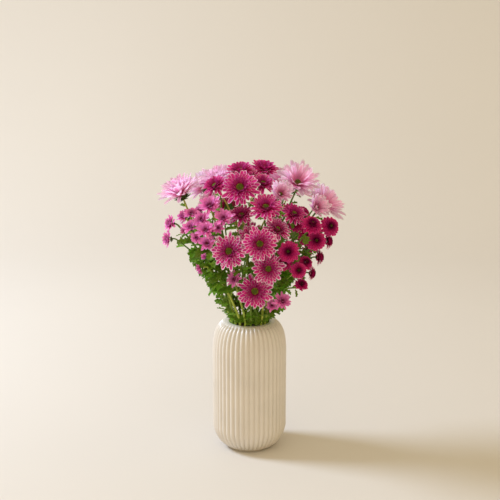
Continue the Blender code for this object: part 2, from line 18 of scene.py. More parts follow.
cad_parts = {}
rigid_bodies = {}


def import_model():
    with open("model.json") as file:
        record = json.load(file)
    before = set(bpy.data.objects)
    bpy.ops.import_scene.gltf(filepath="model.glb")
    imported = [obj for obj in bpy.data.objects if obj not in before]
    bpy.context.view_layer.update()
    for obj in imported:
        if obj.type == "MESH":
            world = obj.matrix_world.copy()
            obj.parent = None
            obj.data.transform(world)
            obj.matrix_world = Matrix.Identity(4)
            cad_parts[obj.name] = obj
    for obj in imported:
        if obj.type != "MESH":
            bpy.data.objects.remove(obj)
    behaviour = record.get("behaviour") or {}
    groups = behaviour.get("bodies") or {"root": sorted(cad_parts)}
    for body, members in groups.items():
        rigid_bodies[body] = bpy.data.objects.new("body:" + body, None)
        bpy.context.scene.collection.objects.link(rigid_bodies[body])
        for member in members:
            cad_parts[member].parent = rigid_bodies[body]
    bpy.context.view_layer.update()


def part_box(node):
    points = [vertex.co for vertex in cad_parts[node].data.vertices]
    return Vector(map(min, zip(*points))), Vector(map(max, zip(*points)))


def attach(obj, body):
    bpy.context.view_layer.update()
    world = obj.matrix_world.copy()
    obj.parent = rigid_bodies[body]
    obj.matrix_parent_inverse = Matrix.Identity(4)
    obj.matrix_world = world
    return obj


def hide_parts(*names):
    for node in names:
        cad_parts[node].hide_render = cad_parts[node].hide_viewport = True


bl_info = {
    "name": "Chrysanthemums in a Jar",
    "version": (1, 0, 0),
    "blender": (4, 5, 0),
    "location": "View3D > Sidebar > Bunch",
    "description": "Makes a bunch of cut chrysanthemums in a ribbed ceramic jar",
    "category": "Object",
}

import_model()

# --- jar, in metres ---------------------------------------------------------------------------
JAR_HEIGHT = 0.200
JAR_RADIUS = 0.0563
JAR_WALL = 0.0050
JAR_FLOOR = 0.0070
MOUTH_RADIUS = 0.0300
LIP_ROUNDING = 0.0025
FOOT_RADIUS = 0.0355
FOOT_HEIGHT = 0.0030
SHOULDER_DROP = 0.0500
SHOULDER_POWER = 2.5
HEEL_RISE = 0.0320
HEEL_POWER = 1.6
RIB_COUNT = 44
RIB_FREE_LIP = 0.0060

# --- flowers and stems, in metres -------------------------------------------------------------
DUO_RADIUS = 0.0245
SPIDER_RADIUS = 0.0330
DAISY_RADIUS = 0.0320
BUTTON_RADIUS = 0.0150
PINK_RADIUS = 0.0115
STEM_RADIUS = 0.0020
BRANCH_RADIUS = 0.0012
NECK_LENGTH = 0.0050
STEM_TAPER = 0.62
LEAF_LENGTH = 0.0400
LEAF_WIDTH_SHARE = 0.62
LEAF_CLEARANCE = 0.0030

SEAT_GAP = 0.0003
FLOWER_GAP = 0.0006
STEM_GAP = 0.0007

# --- how finely the stems are planned ---------------------------------------------------------
MAIN_SPANS = 11
BRANCH_SPANS = 6
SETTLE_ROUNDS = 150
ROUTE_ROUNDS = 90
SPAN_SHARES = np.array((0.0, 0.25, 0.5, 0.75))


@dataclass
class Kind:
    """A variety of flower. The profile runs from the face's middle, over the rim, to the back."""

    radius: float
    profile: tuple


# Profile points are (distance from the axis, distance in front of the middle) as shares of the radius.
KINDS = {
    "duo": Kind(
        DUO_RADIUS,
        ((0, 0.06), (0.50, 0.20), (0.97, 0.12), (0.84, -0.10), (0.26, -0.38), (0.13, -0.40)),
    ),
    "spider": Kind(
        SPIDER_RADIUS,
        ((0, 0.20), (0.50, 0.36), (0.96, 0.24), (0.80, -0.06), (0.24, -0.36), (0.10, -0.40)),
    ),
    "daisy": Kind(
        DAISY_RADIUS,
        ((0, 0.02), (0.45, 0.14), (0.98, 0.30), (0.80, -0.02), (0.22, -0.34), (0.10, -0.38)),
    ),
    "button": Kind(
        BUTTON_RADIUS,
        ((0, 0.42), (0.60, 0.34), (0.98, 0.00), (0.30, -0.50)),
    ),
    "pink": Kind(
        PINK_RADIUS,
        ((0, 0.36), (0.60, 0.40), (0.96, 0.14), (0.26, -0.62)),
    ),
}

# Each flower: right of, behind and above the middle of the mouth in mm, its radius as a share of
# its variety's, the bearing that it faces (0 is the front, 90 the right) and its rise, in degrees.
SPRAYS = {
    "duo_spray_1": ("duo", [(-27, -84, 136, 1.00, -15, 20), (-6, -70, 144, 0.80, 0, 40)]),
    "duo_spray_2": ("duo", [(22, -92, 144, 0.96, 5, 22), (48, -72, 157, 0.78, 35, 50)]),
    "duo_spray_3": ("duo", [(27, -88, 107, 0.90, 12, 5), (8, -70, 65, 1.00, 0, 8)]),
    "duo_spray_4": ("duo", [
        (-14, -62, 209, 1.04, -5, 36), (-46, -46, 205, 0.76, -40, 50), (-10, -54, 170, 0.76, -15, 60),
    ]),
    "duo_spray_5": ("duo", [
        (16, -72, 199, 0.90, 2, 50), (60, -54, 180, 0.74, 30, 50), (23, -32, 215, 0.76, 20, 60),
    ]),
    "duo_spray_6": ("duo", [
        (-8, -8, 229, 0.86, -15, 75), (22, 8, 226, 0.92, 20, 75), (12, 66, 208, 0.96, 170, 45),
    ]),
    "duo_spray_7": ("duo", [
        (34, 84, 155, 0.96, 160, 20), (-34, 84, 158, 0.96, 200, 20), (0, 86, 112, 0.92, 180, 5),
    ]),
    "spider_spray_1": ("spider", [(-88, -18, 199, 1.00, -62, 66), (-60, -30, 192, 0.56, -40, 35)]),
    "spider_spray_2": ("spider", [(-46, 10, 212, 0.94, -25, 68), (-66, 60, 196, 0.92, 225, 40)]),
    "daisy_spray_1": ("daisy", [
        (72, -26, 199, 0.86, 8, 50), (52, -54, 190, 0.56, 15, 35), (46, 18, 209, 0.86, -10, 68),
        (66, 66, 194, 0.92, 140, 40),
    ]),
    "daisy_spray_2": ("daisy", [(94, -16, 190, 0.86, 58, 45), (90, -54, 172, 0.56, 30, 30)]),
    "button_spray_1": ("button", [
        (90, -60, 168, 1.06, 18, 48), (64, -50, 160, 0.95, 0, 30), (80, -44, 142, 0.86, 30, 5),
        (116, -46, 157, 1.00, 22, 22),
    ]),
    "button_spray_2": ("button", [
        (92, -64, 145, 1.00, 8, 18), (116, -30, 130, 0.86, 80, 8), (103, -36, 107, 0.86, 82, 4),
        (92, -42, 84, 0.72, 75, -5),
    ]),
    "button_spray_3": ("button", [
        (51, -82, 135, 1.06, -8, 15), (69, -74, 98, 0.82, 5, 15), (82, -54, 104, 0.80, 35, 40),
        (52, -66, 106, 0.80, 0, 30), (76, -54, 71, 0.70, 20, 45),
    ]),
    "button_spray_4": ("button", [
        (84, 58, 152, 1.00, 125, 20), (104, 34, 128, 0.92, 100, 10), (70, 76, 120, 0.92, 140, 10),
        (90, 46, 96, 0.82, 115, 5),
    ]),
    "pink_spray_1": ("pink", [
        (-115, -30, 155, 0.98, -55, 15), (-118, -36, 135, 0.98, -60, 5), (-96, -32, 168, 0.80, -50, 45),
        (-94, -36, 148, 0.66, -60, 15),
    ]),
    "pink_spray_2": ("pink", [
        (-66, -62, 170, 0.98, -20, 30), (-82, -54, 158, 0.90, -30, 50), (-83, -46, 173, 0.84, -30, 55),
        (-62, -76, 155, 1.05, -15, 40), (-76, -62, 143, 0.70, -30, 10),
    ]),
    "pink_spray_3": ("pink", [
        (-56, -58, 189, 1.28, -15, 50), (-37, -74, 174, 1.12, -8, 42), (-52, -78, 140, 0.96, 0, 40),
        (-44, -68, 158, 0.68, -10, 20),
    ]),
    "pink_spray_4": ("pink", [(48, -60, 47, 1.06, 20, 40), (33, -54, 39, 0.70, 0, 20)]),
    "pink_spray_5": ("pink", [
        (-72, -46, 92, 0.72, -70, -15), (-22, -58, 80, 0.90, -30, 15), (-64, -64, 114, 0.50, -30, 30),
    ]),
    "pink_spray_6": ("pink", [
        (-96, 42, 150, 1.05, 245, 20), (-78, 72, 152, 1.00, 225, 25), (-84, 62, 116, 0.95, 235, 5),
        (-56, 84, 116, 1.00, 205, 5),
    ]),
}


@dataclass
class Flower:
    name: str
    kind: Kind
    spray: str
    centre: np.ndarray
    axis: np.ndarray
    radius: float

    @property
    def middle(self):
        """Centre of the spheroid that holds the flower's solid."""
        ahead = [z for _, z in self.kind.profile]
        return self.centre + self.axis * self.radius * (max(ahead) + min(ahead)) / 2

    @property
    def half_depth(self):
        ahead = [z for _, z in self.kind.profile]
        return self.radius * (max(ahead) - min(ahead)) / 2

    @property
    def back(self):
        return self.centre + self.axis * self.radius * self.kind.profile[-1][1]

    @property
    def neck(self):
        return self.back - self.axis * NECK_LENGTH

    def reach(self, direction):
        """How far the flower's spheroid reaches from its middle along a unit direction."""
        ahead = float(direction @ self.axis)
        across = max(0.0, 1 - ahead * ahead)
        return math.sqrt(self.radius**2 * across + self.half_depth**2 * ahead * ahead)


@dataclass
class Route:
    """The line of a stem or a branch, as points, and the flower that it ends in."""

    spray: str
    points: np.ndarray
    radius: float
    flower: Flower
    held: int = 1
    parent: object = None
    root: int = 0


def unit(vector):
    return vector / np.linalg.norm(vector)


def facing(bearing, rise):
    """Unit vector for a bearing from the front, towards the right, and a rise above level."""
    bearing, rise = math.radians(bearing), math.radians(rise)
    level = math.cos(rise)
    return np.array((math.sin(bearing) * level, -math.cos(bearing) * level, math.sin(rise)))


# ----------------------------------------------------------------------------------------------
# Where the flowers go
# ----------------------------------------------------------------------------------------------
def plan_flowers():
    """The flowers at their planned places, named by variety in the order of the plan."""
    flowers = []
    for spray, (kind_name, rows) in SPRAYS.items():
        kind = KINDS[kind_name]
        for x, y, z, share, bearing, rise in rows:
            centre = np.array((x, y, z)) / 1000 + (0, 0, JAR_HEIGHT)
            number = sum(flower.kind is kind for flower in flowers) + 1
            name = f"{kind_name}_flower_{number:02d}"
            axis = facing(bearing, rise)
            flowers.append(Flower(name, kind, spray, centre, axis, kind.radius * share))
    return flowers


def push_off(flower, point):
    """The shortest way, roughly, that takes a stem at a point out of a flower's spheroid."""
    away = point - flower.middle
    ahead = float(away @ flower.axis)
    across = float(np.linalg.norm(away - ahead * flower.axis))
    clear = 2 * STEM_RADIUS
    level = math.hypot(across / (flower.radius + clear), ahead / (flower.half_depth + clear))
    return away * max(0, 1 / max(level, 0.2) - 1)


def settle(flowers):
    """Moves flowers that press on each other apart, each by half, as the petals would."""
    for _ in range(SETTLE_ROUNDS):
        moved = False
        for i, first in enumerate(flowers):
            for second in flowers[i + 1 :]:
                between = second.middle - first.middle
                distance = np.linalg.norm(between)
                if distance > first.radius + second.radius + FLOWER_GAP:
                    continue
                direction = between / distance
                wanted = first.reach(direction) + second.reach(direction) + FLOWER_GAP
                push = direction * max(0, wanted - distance)
                push = push + push_off(first, second.neck) - push_off(second, first.neck)
                if push.any():
                    first.centre = first.centre - push / 2
                    second.centre = second.centre + push / 2
                    moved = True
        if not moved:
            return


# ----------------------------------------------------------------------------------------------
# Where the stems go
# ----------------------------------------------------------------------------------------------
def bearing_of(points):
    middle = np.mean(points, axis=0)
    return math.atan2(middle[1], middle[0])


def bezier(start, start_pull, end, end_pull, count):
    t = np.linspace(0, 1, count + 1)[:, None]
    first, second = start + start_pull, end - end_pull
    near_start = (1 - t) ** 3 * start + 3 * t * (1 - t) ** 2 * first
    return near_start + 3 * t * t * (1 - t) * second + t**3 * end


def stem_end(flower):
    """Where a stem ends, inside the back of its flower."""
    return flower.back + flower.axis * 0.15 * flower.radius


def mouth_point(bearing, height):
    lean = MOUTH_RADIUS - STEM_RADIUS - SEAT_GAP
    return np.array((lean * math.cos(bearing), lean * math.sin(bearing), height))


def plan_stems(flowers):
    """One main stem for each spray, round the mouth in the order of the flowers' bearings."""
    by_spray = {spray: [f for f in flowers if f.spray == spray] for spray in SPRAYS}
    order = sorted(by_spray, key=lambda spray: bearing_of([f.centre for f in by_spray[spray]]))
    stems = {}
    for place, spray in enumerate(order):
        leader = by_spray[spray][0]
        bearing = math.tau * (place + 0.5) / len(order) - math.pi
        start = mouth_point(bearing, JAR_HEIGHT + STEM_RADIUS)
        end = stem_end(leader)
        span = np.linalg.norm(end - start)
        outward = unit(np.array((math.cos(bearing), math.sin(bearing), 0)) * 0.35 + (0, 0, 1))
        points = bezier(start, outward * span * 0.35, end, leader.axis * span * 0.30, MAIN_SPANS)
        points[-2] = leader.neck
        stems[spray] = Route(spray, points, STEM_RADIUS, leader, held=2)
    return stems


def plan_branches(flowers, stems):
    """A branch from its spray's main stem to each flower but the first."""
    branches = []
    for spray, stem in stems.items():
        others = [f for f in flowers if f.spray == spray and f is not stem.flower]
        for flower in others:
            end = stem_end(flower)
            below = end[2] - 0.45 * np.linalg.norm(end - stem.points[0])
            low = int(np.argmin(np.abs(stem.points[:-3, 2] - below)))
            low = max(3, low)
            start = stem.points[low]
            onward = unit(stem.points[low + 1] - stem.points[low - 1])
            span = np.linalg.norm(end - start)
            points = bezier(start, onward * span * 0.4, end, flower.axis * span * 0.3, BRANCH_SPANS)
            points[-2] = flower.neck
            branches.append(Route(spray, points, BRANCH_RADIUS, flower, parent=stem, root=low))
    return branches


def closest_shares(a, b, c, d):
    """For each segment a-b against each c-d: the shares along both of the closest points."""
    u, v, w = b - a, d - c, a[:, None] - c[None]
    uu, vv = (u * u).sum(-1)[:, None], (v * v).sum(-1)[None]
    uv = u @ v.T
    uw, vw = (u[:, None] * w).sum(-1), (v[None] * w).sum(-1)
    spread = np.maximum(uu * vv - uv * uv, 1e-18)
    s = np.clip((uv * vw - vv * uw) / spread, 0, 1)
    t = np.clip((uv * s + vw) / vv, 0, 1)
    s = np.clip((uv * t - uw) / uu, 0, 1)
    return s, t


def push_off_flowers(route, flowers):
    """Moves a route's free points where its spans run through other flowers' spheroids.

    A span that runs through a flower moves sideways off it; one that runs along it moves to the
    front or to the back.
    """
    others = [flower for flower in flowers if flower is not route.flower]
    axes = np.array([flower.axis for flower in others])
    clear = route.radius + STEM_GAP
    wide = np.array([flower.radius for flower in others]) * 1.03 + clear
    deep = np.array([flower.half_depth for flower in others]) * 1.12 + clear
    spans = np.diff(route.points, axis=0)
    places = route.points[:-1, None] + spans[:, None] * SPAN_SHARES[:, None]
    away = places[:, :, None] - np.array([flower.middle for flower in others])
    ahead = (away * axes).sum(-1)
    across = away - ahead[..., None] * axes
    off = np.linalg.norm(across, axis=-1)
    inside = (off / wide) ** 2 + (ahead / deep) ** 2 < 1
    sideways = wide * np.sqrt(np.clip(1 - (ahead / deep) ** 2, 0, 1)) - off
    lengthways = deep * np.sqrt(np.clip(1 - (off / wide) ** 2, 0, 1)) - np.abs(ahead)
    level = spans / np.linalg.norm(spans, axis=1)[:, None]
    through = (np.abs(level @ axes.T) > 0.5)[:, None] * np.ones_like(inside)
    move = np.where(
        through[..., None],
        across / np.maximum(off, 1e-6)[..., None] * sideways[..., None],
        np.sign(ahead)[..., None] * axes * lengthways[..., None],
    )
    move = (move * inside[..., None]).sum(2) * 0.35
    total = np.zeros_like(route.points)
    total[:-1] += (move * (1 - SPAN_SHARES)[:, None]).sum(1)
    total[1:] += (move * SPAN_SHARES[:, None]).sum(1)
    total[: route.held] = total[-2:] = 0
    route.points += total


def push_apart(routes):
    """Moves routes of different sprays apart where they come closer than their radii and a gap."""
    starts = np.concatenate([route.points[:-1] for route in routes])
    ends = np.concatenate([route.points[1:] for route in routes])
    owner = np.concatenate([[i] * (len(route.points) - 1) for i, route in enumerate(routes)])
    index = np.concatenate([np.arange(len(route.points) - 1) for route in routes])
    sprays = np.array([list(SPRAYS).index(route.spray) for route in routes])[owner]
    radii = np.array([route.radius for route in routes])[owner]
    s, t = closest_shares(starts, ends, starts, ends)
    here = starts[:, None] + (ends - starts)[:, None] * s[..., None]
    there = starts[None] + (ends - starts)[None] * t[..., None]
    apart = here - there
    distance = np.linalg.norm(apart, axis=-1)
    wanted = radii[:, None] + radii[None] + STEM_GAP
    close = (distance < wanted) & (sprays[:, None] != sprays[None])
    for i, j in zip(*np.nonzero(close)):
        route, k = routes[owner[i]], index[i]
        push = apart[i, j] / max(distance[i, j], 1e-6) * (wanted[i, j] - distance[i, j]) * 0.6
        last = len(route.points) - 2
        if route.held <= k < last:
            route.points[k] += push * (1 - s[i, j])
        if route.held <= k + 1 < last:
            route.points[k + 1] += push * s[i, j]


def ease(route, share):
    """Smooths the free points a little, which keeps a pushed stem a fair curve."""
    inner = slice(route.held, -2)
    p = route.points
    middle = (p[route.held - 1 : -3] + p[route.held + 1 : -1]) / 2
    p[inner] += (middle - p[inner]) * share


def clear_routes(routes, flowers):
    for turn in range(ROUTE_ROUNDS):
        for route in routes:
            if turn < ROUTE_ROUNDS * 0.7:
                ease(route, 0.08)
            push_off_flowers(route, flowers)
        push_apart(routes)
        for route in routes:
            if route.parent:
                route.points[0] = route.parent.points[route.root]


def foot_points(stem):
    """The stretch inside the jar: cut end on the floor, then straight up to the mouth."""
    mouth = stem.points[0]
    bearing = math.atan2(mouth[1], mouth[0])
    stand = FOOT_RADIUS - JAR_WALL - 2 * STEM_RADIUS
    foot = np.array((stand * math.cos(bearing), stand * math.sin(bearing), JAR_FLOOR + SEAT_GAP))
    return [foot, mouth_point(bearing, JAR_HEIGHT - JAR_WALL - STEM_RADIUS)]


# Each leaf: the spray that carries it, how far above the mouth it leaves the stem in mm, its
# length as a share of LEAF_LENGTH, the bearing that it points to, and its rise, in degrees.
LEAVES = [
    ("pink_spray_5", 66, 1.00, -75, -8),
    ("pink_spray_5", 40, 0.85, -95, 12),
    ("pink_spray_5", 14, 0.90, -60, -12),
    ("pink_spray_1", 52, 0.95, -100, -5),
    ("pink_spray_1", 26, 0.90, -80, 10),
    ("pink_spray_2", 16, 0.80, -35, 5),
    ("pink_spray_2", 92, 0.90, -55, 25),
    ("duo_spray_1", 12, 0.80, -18, -8),
    ("duo_spray_3", 14, 0.80, 8, -10),
    ("duo_spray_2", 20, 0.75, 20, -5),
    ("pink_spray_4", 14, 0.80, 48, -10),
    ("button_spray_3", 46, 1.00, 62, -30),
    ("button_spray_3", 22, 0.90, 75, 5),
    ("button_spray_2", 62, 0.95, 85, -8),
    ("button_spray_4", 40, 1.00, 130, -15),
    ("button_spray_4", 16, 0.85, 110, 0),
    ("duo_spray_7", 18, 0.85, 160, -5),
    ("pink_spray_6", 44, 1.00, 240, -15),
    ("pink_spray_6", 18, 0.90, 215, 0),
    ("daisy_spray_1", 84, 0.90, 100, 15),
]
LEAF_TURNS = (0, 10, -10, 20, -20, 30, -30, 45, -45, 60, -60)


@dataclass
class Leaf:
    spray: str
    base: np.ndarray
    direction: np.ndarray
    length: float


def leaf_room(leaf, routes, flowers):
    """The least distance from a grid of points on a leaf to the other sprays round it."""
    across = unit(np.cross((0, 0, 1), leaf.direction))
    along, wide = np.meshgrid(np.linspace(0.06, 1, 10), np.linspace(-0.5, 0.5, 5))
    width = leaf.length * LEAF_WIDTH_SHARE * np.clip(6 * (along - 0.1), 0.05, 1)
    rib = leaf.base + along[..., None] * leaf.length * leaf.direction
    grid = (rib + (wide * width)[..., None] * across).reshape(-1, 3)
    room = grid[:, 2].min() - JAR_HEIGHT
    for route in routes:
        if route.spray == leaf.spray:
            continue
        starts, line = route.points[:-1], np.diff(route.points, axis=0)
        share = np.clip(((grid[:, None] - starts) * line).sum(-1) / (line * line).sum(-1), 0, 1)
        gap = np.linalg.norm(grid[:, None] - starts - line * share[..., None], axis=-1)
        room = min(room, gap.min() - route.radius)
    for flower in flowers:
        away = grid - flower.middle
        ahead = away @ flower.axis
        across_it = np.linalg.norm(away - ahead[:, None] * flower.axis, axis=1)
        level = np.hypot(across_it / flower.radius, ahead / flower.half_depth)
        room = min(room, (level.min() - 1) * flower.half_depth)
    return room


def on_stem(stem, height):
    """The point on a stem's centre line at a height above the mouth."""
    above = JAR_HEIGHT + height
    n = int(np.argmax(stem.points[:, 2] > above))
    low, high = stem.points[n - 1], stem.points[n]
    return low + (high - low) * (above - low[2]) / (high[2] - low[2])


def plan_leaves(stems, routes, flowers):
    """Each leaf, turned from its planned bearing until no other spray is in its way."""
    placed = []
    for spray, height, share, bearing, rise in LEAVES:
        base = on_stem(stems[spray], height / 1000)
        choices = []
        for turn in LEAF_TURNS:
            leaf = Leaf(spray, base, facing(bearing + turn, rise), LEAF_LENGTH * share)
            room = min(leaf_room(leaf, routes, flowers), LEAF_CLEARANCE)
            room = min([room] + [leaf_distance(leaf, other) for other in placed])
            choices.append((room, -abs(turn), leaf))
        placed.append(max(choices, key=lambda choice: choice[:2])[2])
    return placed


def leaf_distance(first, second):
    """Distance between the middle lines of two leaves, less their widths' reach, if in two sprays."""
    if first.spray == second.spray:
        return math.inf
    shares = np.linspace(0, 1, 8)[:, None]
    one = first.base + first.direction * first.length * shares
    two = second.base + second.direction * second.length * shares
    near = np.linalg.norm(one[:, None] - two[None], axis=-1).min()
    return near - LEAF_WIDTH_SHARE * (first.length + second.length) / 2


def check_places(flowers):
    """Stops the script if a flower of this plan lies outside its solid's box."""
    for flower in flowers:
        low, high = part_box(flower.spray)
        if any(place < a or place > b for place, a, b in zip(flower.centre, low, high)):
            raise RuntimeError(f"{flower.name} lies outside the box of {flower.spray}")


@lru_cache
def bunch():
    """The settled bunch: flowers, main stems by spray, branches and leaves."""
    flowers = plan_flowers()
    settle(flowers)
    check_places(flowers)
    stems = plan_stems(flowers)
    clear_routes(list(stems.values()), flowers)
    branches = plan_branches(flowers, stems)
    routes = [*stems.values(), *branches]
    clear_routes(routes, flowers)
    return flowers, stems, branches, plan_leaves(stems, routes, flowers)


# ----------------------------------------------------------------------------------------------
# Node trees
# ----------------------------------------------------------------------------------------------
def feed(tree, socket, value):
    if isinstance(value, Field):
        tree.links.new(value.socket, socket)
    else:
        socket.default_value = value


class Field:
    """A socket that takes arithmetic, which adds Math and Vector Math nodes to its tree."""

    def __init__(self, tree, socket):
        self.tree, self.socket = tree, socket

    @property
    def is_vector(self):
        return self.socket.type == "VECTOR"

    def _node(self, kind, operation, values):
        node = self.tree.nodes.new(kind)
        node.operation = operation
        for socket, value in zip(node.inputs, values):
            feed(self.tree, socket, value)
        return node

    def math(self, operation, *others):
        return Field(self.tree, self._node("ShaderNodeMath", operation, (self, *others)).outputs[0])

    def vector(self, operation, *others):
        node = self._node("ShaderNodeVectorMath", operation, (self, *others))
        output = "Value" if operation in ("DOT_PRODUCT", "LENGTH") else "Vector"
        return Field(self.tree, node.outputs[output])

    def scale(self, by):
        node = self._node("ShaderNodeVectorMath", "SCALE", (self,))
        feed(self.tree, node.inputs["Scale"], by)
        return Field(self.tree, node.outputs["Vector"])

    def __add__(self, other):
        return self.vector("ADD", other) if self.is_vector else self.math("ADD", other)

    __radd__ = __add__

    def __sub__(self, other):
        return self.vector("SUBTRACT", other) if self.is_vector else self.math("SUBTRACT", other)

    def __rsub__(self, other):
        return self * -1 + other

    def __mul__(self, other):
        if self.is_vector:
            both = isinstance(other, Field) and other.is_vector
            return self.vector("MULTIPLY", other) if both else self.scale(other)
        if isinstance(other, Field) and other.is_vector:
            return other.scale(self)
        return self.math("MULTIPLY", other)

    __rmul__ = __mul__

    def __truediv__(self, other):
        return self.math("DIVIDE", other)

    def __pow__(self, other):
        return self.math("POWER", other)

    def __neg__(self):
        return self * -1

    def sin(self):
        return self.math("SINE")

    def cos(self):
        return self.math("COSINE")

    def abs(self):
        return self.math("ABSOLUTE")

    def floor(self):
        return self.math("FLOOR")

    def root(self):
        return self.math("MAXIMUM", 0.0).math("SQRT")

    def most(self, other):
        return self.math("MAXIMUM", other)

    def least(self, other):
        return self.math("MINIMUM", other)

    def ramp(self, low, high, start=0.0, end=1.0, smooth=True):
        """From start to end while this goes from low to high, and no further."""
        node = self.tree.nodes.new("ShaderNodeMapRange")
        node.interpolation_type = "SMOOTHSTEP" if smooth else "LINEAR"
        for socket, value in zip(node.inputs, (self, low, high, start, end)):
            feed(self.tree, socket, value)
        return Field(self.tree, node.outputs[0])


class Maker:
    """Adds nodes to a tree and links their inputs as they are made."""

    def __init__(self, tree):
        self.tree = tree

    def node(self, kind, inputs=None, **settings):
        node = self.tree.nodes.new(kind)
        for name, value in settings.items():
            setattr(node, name, value)
        for name, value in (inputs or {}).items():
            feed(self.tree, node.inputs[name], value)
        return node

    def field(self, kind, output=0, inputs=None, **settings):
        return Field(self.tree, self.node(kind, inputs, **settings).outputs[output])

    def combine(self, x, y, z):
        return self.field("ShaderNodeCombineXYZ", inputs={0: x, 1: y, 2: z})

    def split(self, vector):
        node = self.node("ShaderNodeSeparateXYZ", {0: vector})
        return [Field(self.tree, output) for output in node.outputs]

    def noise(self, vector, scale, detail=2.0):
        inputs = {"Vector": vector, "Scale": scale, "Detail": detail}
        return self.field("ShaderNodeTexNoise", inputs=inputs)


class GeometryMaker(Maker):
    """A Geometry Nodes tree under way, with its inputs and the geometry so far."""

    def __init__(self, name):
        super().__init__(bpy.data.node_groups.new(name, "GeometryNodeTree"))
        self.tree.interface.new_socket("Geometry", in_out="OUTPUT", socket_type="NodeSocketGeometry")
        self.tree.interface.new_socket("Geometry", in_out="INPUT", socket_type="NodeSocketGeometry")
        self.group_in = self.tree.nodes.new("NodeGroupInput")
        self.geometry = Field(self.tree, self.group_in.outputs["Geometry"])

    def input(self, name, kind="Float"):
        self.tree.interface.new_socket(name, in_out="INPUT", socket_type="NodeSocket" + kind)
        return Field(self.tree, self.group_in.outputs[name])

    def step(self, kind, inputs=None, **settings):
        """Passes the geometry through a node and returns the node."""
        node = self.node(kind, {0: self.geometry, **(inputs or {})}, **settings)
        self.geometry = Field(self.tree, node.outputs[0])
        return node

    def store(self, name, value, kind="FLOAT", domain="POINT"):
        inputs = {"Name": name, "Value": value}
        self.step("GeometryNodeStoreNamedAttribute", inputs, data_type=kind, domain=domain)

    def stored(self, name, kind="FLOAT"):
        named = "GeometryNodeInputNamedAttribute"
        return self.field(named, "Attribute", {"Name": name}, data_type=kind)

    def position(self):
        return self.field("GeometryNodeInputPosition")

    def random(self, low, high, key, seed):
        """A float between low and high that is the same for the same key."""
        return self.field(
            "FunctionNodeRandomValue", 1, {2: low, 3: high, "ID": key, "Seed": seed}, data_type="FLOAT"
        )

    def sheets_on_points(self, columns, rows, along_from):
        """Puts a flat grid on each point, whose places run across it, -1 to 1, and along it, 0 to 1."""
        points = self.geometry
        counts = {"Vertices X": columns, "Vertices Y": rows}
        grid = self.node("GeometryNodeMeshGrid", {"Size X": 2.0, "Size Y": 1.0, **counts})
        self.geometry = Field(self.tree, grid.outputs["Mesh"])
        x, y, _ = self.split(self.position())
        self.store("petal_across", x)
        self.store("petal_along", along_from(y))
        sheet = self.geometry
        self.geometry = points
        self.step("GeometryNodeInstanceOnPoints", {"Instance": sheet})
        self.step("GeometryNodeRealizeInstances")

    def balls_on_points(self, ball, aim, scale):
        """Puts a ball on each point, its Z along the aim."""
        rotation = self.field("FunctionNodeAlignRotationToVector", inputs={"Vector": aim}, axis="Z")
        inputs = {"Instance": Field(self.tree, ball.outputs[0]), "Rotation": rotation, "Scale": scale}
        self.step("GeometryNodeInstanceOnPoints", inputs)

    def place(self, position):
        self.step("GeometryNodeSetPosition", {"Position": position})

    def end(self, material):
        """Closes the tree: real geometry, smooth, in its material."""
        self.step("GeometryNodeRealizeInstances")
        self.step("GeometryNodeSetShadeSmooth", {"Shade Smooth": True})
        self.step("GeometryNodeSetMaterial", {"Material": material})
        out = self.tree.nodes.new("NodeGroupOutput")
        self.tree.links.new(self.geometry.socket, out.inputs[0])
        return self.tree


def grown(source, tree, inputs, name):
    """A plain mesh object: what a node tree, with its inputs set, makes of a source object."""
    modifier = source.modifiers.new("grow", "NODES")
    modifier.node_group = tree
    items = [item for item in tree.interface.items_tree if item.in_out == "INPUT"]
    sockets = {item.name: item.identifier for item in items}
    for key, value in inputs.items():
        modifier[sockets[key]] = value
    bpy.context.scene.collection.objects.link(source)
    graph = bpy.context.evaluated_depsgraph_get()
    mesh = bpy.data.meshes.new_from_object(source.evaluated_get(graph))
    bpy.data.objects.remove(source)
    if not mesh.polygons:
        raise RuntimeError(f"{name} came out empty")
    mesh.name = name
    obj = bpy.data.objects.new(name, mesh)
    bpy.context.scene.collection.objects.link(obj)
    return obj


def add_piece(obj, slot, *nodes):
    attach(obj, "root")
    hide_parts(*nodes)


def sprays_of(variety):
    return [spray for spray, (kind, _) in SPRAYS.items() if kind == variety]


